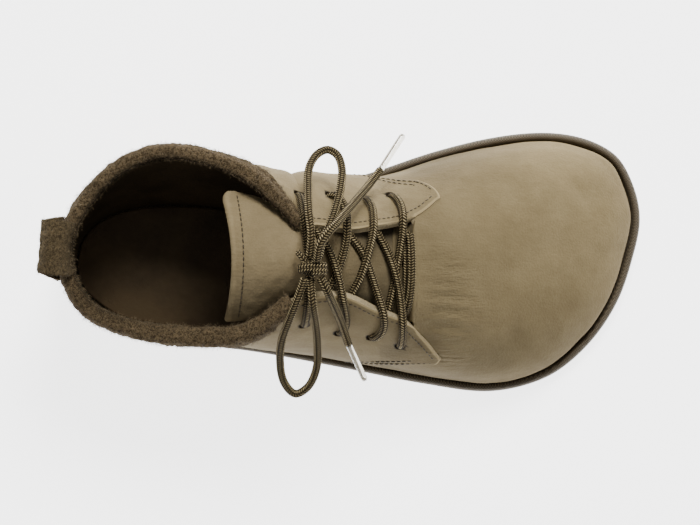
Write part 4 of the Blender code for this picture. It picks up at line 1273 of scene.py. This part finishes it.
def punch_holes(made):
    """Cuts the lace holes through the upper."""
    cutters = []
    for _, point, out in HOLE_PLACES:
        bpy.ops.mesh.primitive_cylinder_add(vertices=24, radius=HOLE / 2, depth=6 * WALL, location=point)
        cutters.append(bpy.context.object)
        cutters[-1].rotation_euler = Vector(out).to_track_quat("Z", "Y").to_euler()
    bpy.ops.object.select_all(action="DESELECT")
    for cutter in cutters:
        cutter.select_set(True)
    bpy.context.view_layer.objects.active = cutters[0]
    bpy.ops.object.join()
    cutter = bpy.context.object
    cutter.data.materials.append(LINING)
    cut = made.modifiers.new("holes", "BOOLEAN")
    cut.operation = "DIFFERENCE"
    cut.solver = "EXACT"
    cut.material_mode = "TRANSFER"
    cut.object = cutter
    bpy.context.view_layer.objects.active = made
    bpy.ops.object.modifier_apply(modifier=cut.name)
    bpy.data.objects.remove(cutter)


def dress_upper():
    columns = fine_columns()
    rows = [i / FINE_ROWS for i in range(FINE_ROWS)] + [1 - 0.5 / FINE_ROWS, 1.0]
    places = np.array([[pointed_shift(at, row) for at, _ in columns] for row in rows])
    ring, level = places[..., 0], places[..., 1]
    quarter = np.array([covered for _, covered in columns])
    step = eased(level, LASTED_LEVEL, FULL_STEP_LEVEL) * QUARTER_STEP * quarter
    base = base_points(ring, level)
    flat, way, level = base.reshape(-1, 3), normals_at(ring, level).reshape(-1, 3), level.ravel()
    push = -crease_depth(flat)
    for _, point, _ in HOLE_PLACES:
        push -= HOLE_DENT * hump(np.linalg.norm(flat - point, axis=1), HOLE_DENT_WIDTH)
    push += uneven(flat, UPPER_WAVES) * eased(-level, -1, -0.94) * eased(level, 0, 0.08)
    to_edge = to_cut_edge(base)
    edge = hump(to_edge, CUT_EDGE_PALE_WIDTH) * eased(level, 0.25, 0.55)
    push -= CUT_EDGE_DIP * hump(to_edge, CUT_EDGE_DIP_WIDTH)
    push += VAMP_SWELL * hump(level - 0.13, 0.07) * np.tile(~quarter, len(rows))
    outer = flat + way * (step.ravel() + push)[:, None]
    inner = flat + way * (np.minimum(push, 0.0) - WALL)[:, None]
    size, count, under = len(columns), len(rows), len(flat)
    raised = np.where(quarter, 0.00025, -0.0001)[:, None] * UP
    points = np.concatenate([outer, inner, 0.5 * (outer[-size:] + inner[-size:]) + raised])
    faces = two_sides(count, size, closed=True)
    groups = []
    for face in faces[: len(faces) // 2]:
        left, right = face[0] % size, face[1] % size
        groups.append(CUT if right and quarter[left] != quarter[right] else OUTSIDE)
    groups += [INSIDE] * len(groups)
    top, rim = under - size, 2 * under
    for j in range(size):
        k = (j + 1) % size
        faces.append((top + j, top + k, rim + k, rim + j))
        faces.append((rim + j, rim + k, under + top + k, under + top + j))
        faces.append((k, j, under + j, under + k))
        groups += [CUT, CUT, INSIDE]
    made = new_piece("upper_leather", points, faces, [NUBUCK, LINING, RAW], groups)
    facing_out(made)
    made.data.set_sharp_from_angle(angle=math.radians(46))
    rest = np.zeros(len(points) - under)
    # The tone share: painted light and shade on the leather, with painted shade in the creases and hole
    # dents.
    tone = painted_leather_shading(points) - DENT_PAINTED_SHADE * np.append(np.maximum(-push, 0) * (1 - edge), rest)
    edge = np.append(edge, rest)
    set_shares(made, tone=np.clip(tone, 0.55, 1.4), edge=edge, wrinkle=leather_wrinkle(points))
    punch_holes(made)
    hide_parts("upper")
    return made


def dress_seams():
    runs = []
    for seam, heelward in ((SEAM_INNER, -1.0), (SEAM_OUTER, 1.0)):
        for first, last, away in SEAM_ROWS:
            runs.append(on_quarter(beside(seam_line(seam, first, last), away, heelward)))
    runs.append(under_edge(COLLAR[-1][0] + 0.004, SEAM_INNER[-1][1] - 0.009, 0.0032))
    runs.append(under_edge(SEAM_OUTER[-1][1] + 0.009, OUTER_FLAP_EDGE[-1][0] - 0.004, 0.0032))
    made = stitches("upper_stitches", runs, SEAM_THREAD)


# The tongue.


def dress_tongue():
    sides = np.linspace(1, -1, 61)
    near = np.linalg.norm(tongue_face(0.5, 0.0) - tongue_face(0.0, 0.0)) / 0.5
    hem = TONGUE_HEM / near
    rows = [*np.linspace(0, 3.0, 60), *np.linspace(3.0, TONGUE[-1][0], 50)[1:]]
    top, low = [], []
    corner = 1.9 * hem
    for row in rows:
        grow = 0.5 + 0.5 * math.cos(math.pi * min(max((row - 1.5 * hem) / (0.8 * hem), 0.0), 1.0))
        roll = math.sqrt(max(0.0, 1 - max(0.0, 1 - row / (0.45 * hem)) ** 2))
        for side in sides:
            pulled = max(0.0, side - 0.80) / 0.20
            at = row + corner * (1 - math.sqrt(1 - min(1.0, pulled) ** 2)) * max(0.0, 1 - row / (3 * corner))
            point, out = tongue_face(at, side), tongue_normal(at, side)
            full = TONGUE_THICKNESS * (1 + 0.5 * grow)
            dip = 0.5 * full * (1 - roll)
            top.append(point - out * dip)
            low.append(point - out * (full - dip))
    top, low = np.array(top), np.array(low)
    outs = np.array([tongue_normal(row, side) for row in rows for side in sides])
    past_hem = eased(np.repeat(rows, len(sides)), 2 * hem, 4 * hem)
    top += outs * (uneven(top, TONGUE_WAVES) * past_hem - 0.0002)[:, None]
    points = np.concatenate([top, low])
    faces = two_sides(len(rows), len(sides))
    groups = [OUTSIDE] * (len(faces) // 2) + [INSIDE] * (len(faces) // 2)
    for rim, group in zip(sheet_rims(len(rows), len(sides)), (OUTSIDE, CUT, CUT)):
        faces += rim
        groups += [group] * len(rim)
    made = new_piece("tongue_leather", points, faces, [TONGUE_SKIN, LINING, RAW], groups)
    facing_out(made)
    made.data.set_sharp_from_angle(angle=math.radians(50))
    x = points[:, 0] / SOLE_LENGTH
    across = np.tile(sides, 2 * len(rows))
    # Painted shade: darker towards the front under the laces and the fold, and along both edges where the
    # flaps overhang, the inner edge from a little below the top; with a little random tone.
    tone = 1.0 + 0.06 * smooth_noise(points, 0.03, 13) - 0.30 * eased(x, -0.05, 0.05)
    tone -= 0.35 * eased(-across, 0.25, 0.85)
    tone -= 0.60 * eased(across, 0.25, 0.75) * eased(x, -0.06, 0.02)
    hem_share = np.repeat([hump(max(0.0, row / hem - 0.7), 0.9) for row in rows], len(sides))
    set_shares(
        made,
        tone=np.clip(tone, 0.22, 1.3),
        edge=np.tile(0.45 * hem_share, 2),
        wrinkle=np.full(len(points), 0.25),
    )
    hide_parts("tongue")
    spots = [(2.4 * hem, side) for side in np.linspace(0.93, -0.93, 120)]
    run = [tongue_face(*spot) for spot in spots], [tongue_normal(*spot) for spot in spots]
    seam = stitches("tongue_stitches", [run], SEAM_THREAD, sink=0.25)
    return made


def dress_throat(tongue):
    """The vamp's thin edge turns down under the laces and runs on over the tongue, without a gap."""
    trees = [tree_of(tongue)]
    rings = np.linspace(THROAT[0][0] + 0.006, THROAT[-1][0] - 0.006, 90)
    share = np.linspace(0, 1, 22)
    over, outs = [], []
    for ring in rings:
        start, edge = wall_points(ring, 0.9965, 0.00005), wall_points(ring, 0.9995, 0.00010)
        nose = edge + unit(edge - wall_points(ring, 0.985, 0.0)) * 0.0026 - UP * 0.0002
        stops = [start, edge, nose]
        for back, lift in ((0.0030, 0.0012), (0.0090, 0.00030)):
            x, y, z = nose - np.array([back, 0.0, 0.0])
            below = height_at(trees, x, y)
            stops.append(np.array([x, y, below + lift if below > 0 else z]))
        rows = tuple((float(i), *stop) for i, stop in enumerate(stops))
        for t in share:
            over.append(between(rows, t * (len(rows) - 1)))
            outs.append(unit(normals_at(ring, 0.95) * (1 - t) + UP * t))
    over = np.array(over)
    over[:, 2] = np.maximum(over[:, 2], [height_at(trees, x, y) + 0.00025 for x, y, _ in over])
    size, count = len(share), len(rings)
    thick = np.tile(0.0007 * (1 - share) + 0.00012, count)
    points = np.concatenate([over, over - np.array(outs) * thick[:, None]])
    faces = two_sides(count, size)
    for rim in sheet_rims(count, size):
        faces += rim
    made = new_piece("throat_fold", points, faces, [NUBUCK])
    facing_out(made)
    # Painted light and shade as on the vamp, with painted shade deepening as the fold turns down under the
    # laces.
    tone = painted_leather_shading(points) - 0.30 * np.tile(share, 2 * count) ** 1.5
    set_shares(made, tone=np.clip(tone, 0.4, 1.3), edge=0 * tone, wrinkle=leather_wrinkle(points))
    return made


# The collar's roll and the pull strap.


def rounded(profile, count):
    """A closed run of points made smooth, with that many points."""
    rows = keyed([*profile, profile[0]])
    whole = rows[-1][0]
    return [tuple(between(rows, s, whole)) for s in np.linspace(0, whole, count, endpoint=False)]


def hairs(name, points, outs, count, long, seed):
    """Thin loose fibres that stand off a rough surface."""
    chance = np.random.default_rng(seed)
    picks = chance.integers(0, len(points), count)
    roots = points[picks] + chance.normal(0, 0.0005, (count, 3))
    lean = units(outs[picks] + chance.normal(0, 0.55, (count, 3)))
    across = units(np.cross(lean, chance.normal(size=(count, 3))))
    size = long * chance.uniform(0.4, 1.2, count)[:, None]
    bend = chance.normal(0, 0.25, (count, 3)) * size
    starts, tops = roots - lean * 0.0003, roots + lean * size * 0.55
    half = across * HALF_HAIR
    corners = [starts - half, starts + half, tops + half * 0.7, tops - half * 0.7, roots + lean * size + bend]
    mesh_points = np.stack(corners, axis=1).reshape(-1, 3)
    faces = []
    for i in range(count):
        k = 5 * i
        faces += [(k, k + 1, k + 2, k + 3), (k + 3, k + 2, k + 4)]
    return new_piece(name, mesh_points, faces, [HAIR], smooth=False)


def dress_collar():
    face_out = QUARTER_STEP + 0.5 * CLEAR
    face_in = -WALL - 0.5 * CLEAR
    cover, pad = QUARTER_STEP + 1.5 * CLEAR + BAND_COVER, -WALL - 1.5 * CLEAR - BAND_PAD
    middle = (cover + pad) / 2
    outline = (
        (0.70 * BAND_DROP_OUT, face_out),
        (1.00 * BAND_DROP_OUT, face_out),
        (1.04 * BAND_DROP_OUT, cover - 0.6 * BAND_COVER),
        (0.80 * BAND_DROP_OUT, cover - 0.1 * BAND_COVER),
        (0.40 * BAND_DROP_OUT, cover),
        (0.00, cover - 0.05 * BAND_COVER),
        (-0.70 * BAND_RISE, cover - 0.5 * BAND_COVER),
        (-BAND_RISE, middle),
        (-0.80 * BAND_RISE, pad + 0.45 * BAND_PAD),
        (0.10 * BAND_DROP_IN, pad),
        (0.55 * BAND_DROP_IN, pad),
        (0.95 * BAND_DROP_IN, pad + 0.4 * BAND_PAD),
        (1.00 * BAND_DROP_IN, face_in),
        (0.50 * BAND_DROP_IN, face_in),
        (0.20 * BAND_DROP_IN, 0.0),
    )
    profile = rounded(outline, 44)
    stations = collar_stations(COLUMNS_HEEL)
    share = np.linspace(0.004, 0.996, 300)
    rings = np.interp(share, np.linspace(0, 1, len(stations)), stations)
    points = []
    for ring, at in zip(rings, share):
        left = min(1.0, min(at, 1 - at) / 0.085)
        narrow = 0.40 + 0.60 * left * left * (3 - 2 * left)
        flat = 0.55 + 0.45 * left
        spare = 0.62 * (1 - (1 / (1 + math.exp(-(0.30 - at) / 0.04))))
        for drop, out in profile:
            if out > 0:
                out = min(out, face_out) + (max(out, face_out) - face_out) * flat
            elif out < face_in:
                out = face_in + (out - face_in) * (1 - spare)
            points.append(wall_drop(ring, drop * (narrow if drop > 0 else flat), out))
    points = np.array(points)
    size, count = len(profile), len(rings)
    grid = points.reshape(count, size, 3)
    hubs = grid.mean(axis=1, keepdims=True)
    outs = units(grid - hubs).reshape(-1, 3)
    points = points + outs * uneven(points, ROLL_WAVES)[:, None]
    faces = strip_faces(count, size) + [tuple(range(size)), tuple(range((count - 1) * size, count * size))]
    made = new_piece("collar_suede", points, faces, [SUEDE])
    facing_out(made)
    # Painted shade on the roll's inner face, round the heel and along the inner side.
    inside = np.array([eased(-out, -middle - 0.0004, -middle + 0.0018) for _, out in profile])
    heelward = 1 / (1 + np.exp(-(share - 0.30) / 0.05))
    set_shares(made, shade=(0.75 * heelward[:, None] * inside[None, :]).ravel())
    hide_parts("collar_band")
    facing = (outs[:, 2] > -0.4) | (np.tile(np.arange(size), count) < 0.45 * size)
    fuzz = hairs("collar_hairs", points[facing], outs[facing], ROLL_HAIRS, ROLL_HAIR_LENGTH, 31)
    return made


def dress_strap():
    outside = QUARTER_STEP + 2.5 * CLEAR + BAND_COVER + LOOP_THICKNESS / 2
    landing = BAND_RISE + 3 * CLEAR
    stops = (
        # up, out, hug
        (-0.85 * BAND_DROP_OUT, outside, 1.0),
        (-0.45 * BAND_DROP_OUT, outside, 1.0),
        (-0.05 * BAND_DROP_OUT, outside + 0.15 * LOOP_REACH, 0.6),
        (0.35 * LOOP_RISE, 0.85 * LOOP_REACH, 0.0),
        (0.65 * LOOP_RISE, 0.92 * LOOP_REACH, 0.0),
        (0.93 * LOOP_RISE, 0.68 * LOOP_REACH, 0.0),
        (0.97 * LOOP_RISE, 0.34 * LOOP_REACH, 0.1),
        (0.70 * LOOP_RISE, 0.04 * LOOP_REACH, 0.5),
        (landing, -0.08 * LOOP_REACH, 1.0),
    )
    rows = tuple((float(i), *stop) for i, stop in enumerate(stops))
    path = np.array([between(rows, s) for s in np.linspace(0, len(rows) - 1, 46)])
    along = top_edge(LOOP_RING + 0.01) - top_edge(LOOP_RING - 0.01)
    near = np.linalg.norm(along) / 0.02

    def place(share, up, out, hug):
        shift = share * LOOP_WIDTH / 2
        curved = wall_drop(LOOP_RING + shift / near, -up, out)
        straight = wall_drop(LOOP_RING, -up, out) + shift * unit(along)
        return hug * curved + (1 - hug) * straight

    shares = np.linspace(-1, 1, 25)
    ways = units(np.gradient(path[:, :2], axis=0))
    sections = []
    for share in shares:
        edge = max(0.0, abs(share) - 0.9) / 0.1
        thick = 0.5 * LOOP_THICKNESS * math.sqrt(1 - 0.55 * edge * edge)
        over_face, under_face = [], []
        for (up, out, hug), way in zip(path, ways):
            side = thick * np.array([-way[1], way[0]])
            over_face.append(place(share, up + side[0], out + side[1], hug))
            under_face.append(place(share, up - side[0], out - side[1], hug))
        sections.append(over_face + under_face[::-1])
    size, count = len(sections[0]), len(sections)
    grid = np.array(sections)
    points = grid.reshape(-1, 3)
    outs = units(grid - grid[:, ::-1]).reshape(-1, 3)
    points = points + outs * uneven(points, STRAP_WAVES)[:, None]
    faces = strip_faces(count, size) + [tuple(range(size)), tuple(range((count - 1) * size, count * size))]
    made = new_piece("pull_strap", points, faces, [SUEDE_STRAP])
    facing_out(made)
    made.data.set_sharp_from_angle(angle=math.radians(60))
    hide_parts("pull_loop")
    fuzz = hairs("strap_hairs", points, outs, STRAP_HAIRS, STRAP_HAIR_LENGTH, 43)


# The lace and its bow.


def rest_height(x, y, trees, reach):
    """How high a cord's middle lies on what is under it there."""
    heights = []
    for far, turn in ((0.0, 0), *((0.62, k * math.pi / 3) for k in range(6))):
        side = far * reach
        below = height_at(trees, x + side * math.cos(turn), y + side * math.sin(turn))
        heights.append(below + reach * math.sqrt(1 - far * far))
    return max(heights)


def taut(floor):
    """Pulls a run of heights straight wherever it lies on nothing."""
    z = floor.copy()
    for _ in range(240):
        middle = 0.5 * (z[:-2] + z[2:])
        z[1:-1] = np.maximum(floor[1:-1], 0.5 * z[1:-1] + 0.5 * middle)
    return z


def softened(line, rounds):
    """A run of points with its bends smoothed, and its ends kept."""
    line = line.copy()
    for _ in range(rounds):
        line[1:-1] = 0.25 * line[:-2] + 0.5 * line[1:-1] + 0.25 * line[2:]
    return line


def lay_strand(places, low_ends, hole, all_trees, low_trees):
    """A strand's run: out of its hole, over the flap and tongue, and under the other flap."""
    reach = LACE / 2
    marks = np.array([(along * SOLE_LENGTH, across * COLLAR_WIDTH, 0.0) for along, across in places])
    plan = smooth_route(marks, ROUTE_SPACING)
    low_marks = [mark for mark, low in zip((0, len(places) - 1), low_ends) if low]
    floor = []
    for point in plan:
        nearest = int(np.argmin(np.linalg.norm(marks - point, axis=1)))
        floor.append(rest_height(*point[:2], low_trees if nearest in low_marks else all_trees, reach))
    line = np.column_stack([plan[:, :2], taut(np.array(floor))])
    if hole is not None:
        if low_ends[0]:
            line = line[::-1]
        point, out = hole
        keep = np.linalg.norm(line[:, :2] - point[:2], axis=1) > HOLE_REACH
        through = [point + out * rise for rise in HOLE_RISES]
        line = np.concatenate([through, line[keep]])
    far = line[-1] + unit(line[-1] - line[-4]) * LOW_END_RUN - UP * LOW_END_DROP
    line = np.concatenate([line, [0.5 * (far + line[-1]), far]])
    return softened(resampled(softened(line, 2), 0.0008), 6)


def dress_lace(upper, tongue, fold, band):
    low_trees = [tree_of(tongue), tree_of(fold)]
    all_trees = low_trees + [tree_of(upper), tree_of(band)]
    holes = [[place[1:] for place in HOLE_PLACES if place[0] == side] for side in ("inner", "outer")]
    for name, strands in CROSSINGS.items():
        pieces = {}
        for k in (1, 0) if name == "lace_cross_middle" else (0, 1):
            is_bar = name not in HOLE_ROWS
            hole = None if is_bar else holes[k][HOLE_ROWS[name]]
            line = lay_strand(strands[k], (is_bar or k == 1, is_bar or k == 0), hole, all_trees, low_trees)
            pieces[k] = tube(f"{name}_{k + 1}", line, LACE / 2, 14, BRAID)
            all_trees.append(tree_of(pieces[k]))
        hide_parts(name)
        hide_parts(name)


def knot_lines():
    """The knot's wrapped cord, and the short bend of cord that shows beside it."""
    knot = shoe_point(*KNOT)
    turns = np.linspace(-0.5 * math.pi, 4.5 * math.pi, 150)
    long, wide, high = KNOT_HALF
    across = np.linspace(wide, -wide, 150) + 0.0004 * np.sin(turns)
    wrap = knot + np.stack([long * np.cos(turns), across, high * np.sin(turns)], axis=1)
    return wrap, smooth_route([knot + np.array(point) for point in KNOT_BEND], 0.0008)


def dress_bow():
    tips = {}
    for tip, (carrier, far) in TIPS.items():
        end = shoe_point(*BOW[carrier][-1])
        away = unit(shoe_point(*far) - end)
        line = np.array([end + away * s for s in np.linspace(-0.0010, AGLET_LENGTH, 22)])
        sizes = np.full(len(line), AGLET / 2)
        sizes[[0, 1, -1]] = 0.62 * AGLET, 0.56 * AGLET, 0.38 * AGLET
        piece = tube(tip + "_sleeve", line, sizes, 20, PLASTIC)
        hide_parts(tip)
        tips[carrier] = piece
    pieces = []
    for number, line in enumerate(knot_lines(), 1):
        piece = tube(f"lace_knot_{number}", line, KNOT_CORD / 2, 14, BRAID)
        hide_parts("lace_knot")
        pieces.append(piece)
    for name, rows in BOW.items():
        line = smooth_route([shoe_point(*row) for row in rows], ROUTE_SPACING)
        piece = tube(name + "_cord", line, LACE / 2, 16, BRAID)
        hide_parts(name)
        with_pieces = [tips[name]] if name in tips else []
        if name == "lace_loop_inner":
            with_pieces = with_pieces + pieces


# Camera, light and floor.

CAMERA_HEIGHT = 1.05
CAMERA_SIDE = 0.0012
FRAME_WIDTH = 0.3287
SENSOR = 36.0
FLOOR_GLOW = 3.4
FLOOR_DROP = 0.0004
WORLD_LIGHT = 0.22
LAMPS = (
    # name, place, size, watts
    ("key", (0.20, 0.95, 1.12), 0.50, 31.0),
    ("fill", (-0.70, -0.50, 1.20), 1.4, 2.0),
    ("top", (0.60, 0.20, 1.40), 1.0, 3.0),
)


def dress_room():
    lens = bpy.data.cameras.new("camera")
    lens.sensor_width = SENSOR
    lens.lens = SENSOR * CAMERA_HEIGHT / FRAME_WIDTH
    camera = bpy.data.objects.new("camera", lens)
    camera.location = (0.0, CAMERA_SIDE, CAMERA_HEIGHT)
    bpy.context.scene.collection.objects.link(camera)
    bpy.context.scene.camera = camera

    n = Nodes("pale_floor")
    cloud = n.noise(n.place(), 3.0, 2.0)
    n.finish(n.mix(cloud, (0.88, 0.88, 0.88), (0.92, 0.92, 0.92)), 0.8)
    n.shader.inputs["Emission Color"].default_value = (1.0, 1.0, 1.0, 1.0)
    n.shader.inputs["Emission Strength"].default_value = FLOOR_GLOW
    bpy.ops.mesh.primitive_plane_add(size=6.0, location=(0.0, 0.0, -FLOOR_DROP))
    floor = bpy.context.object
    floor.name = "floor"
    floor.data.materials.append(n.made)

    for name, place, size, power in LAMPS:
        lamp = bpy.data.lights.new(name, "AREA")
        lamp.size = size
        lamp.energy = power
        made = bpy.data.objects.new(name, lamp)
        made.location = place
        made.rotation_euler = (-Vector(place)).to_track_quat("-Z", "Y").to_euler()
        bpy.context.scene.collection.objects.link(made)
    world = bpy.data.worlds.new("studio")
    world.use_nodes = True
    sky = world.node_tree.nodes["Background"]
    sky.inputs["Color"].default_value = (1.0, 1.0, 1.0, 1.0)
    sky.inputs["Strength"].default_value = WORLD_LIGHT
    bpy.context.scene.world = world


dress_room()
dress_bow()
dress_sole()
UPPER = dress_upper()
dress_seams()
TONGUE_PIECE = dress_tongue()
FOLD = dress_throat(TONGUE_PIECE)
BAND = dress_collar()
dress_strap()
dress_lace(UPPER, TONGUE_PIECE, FOLD, BAND)
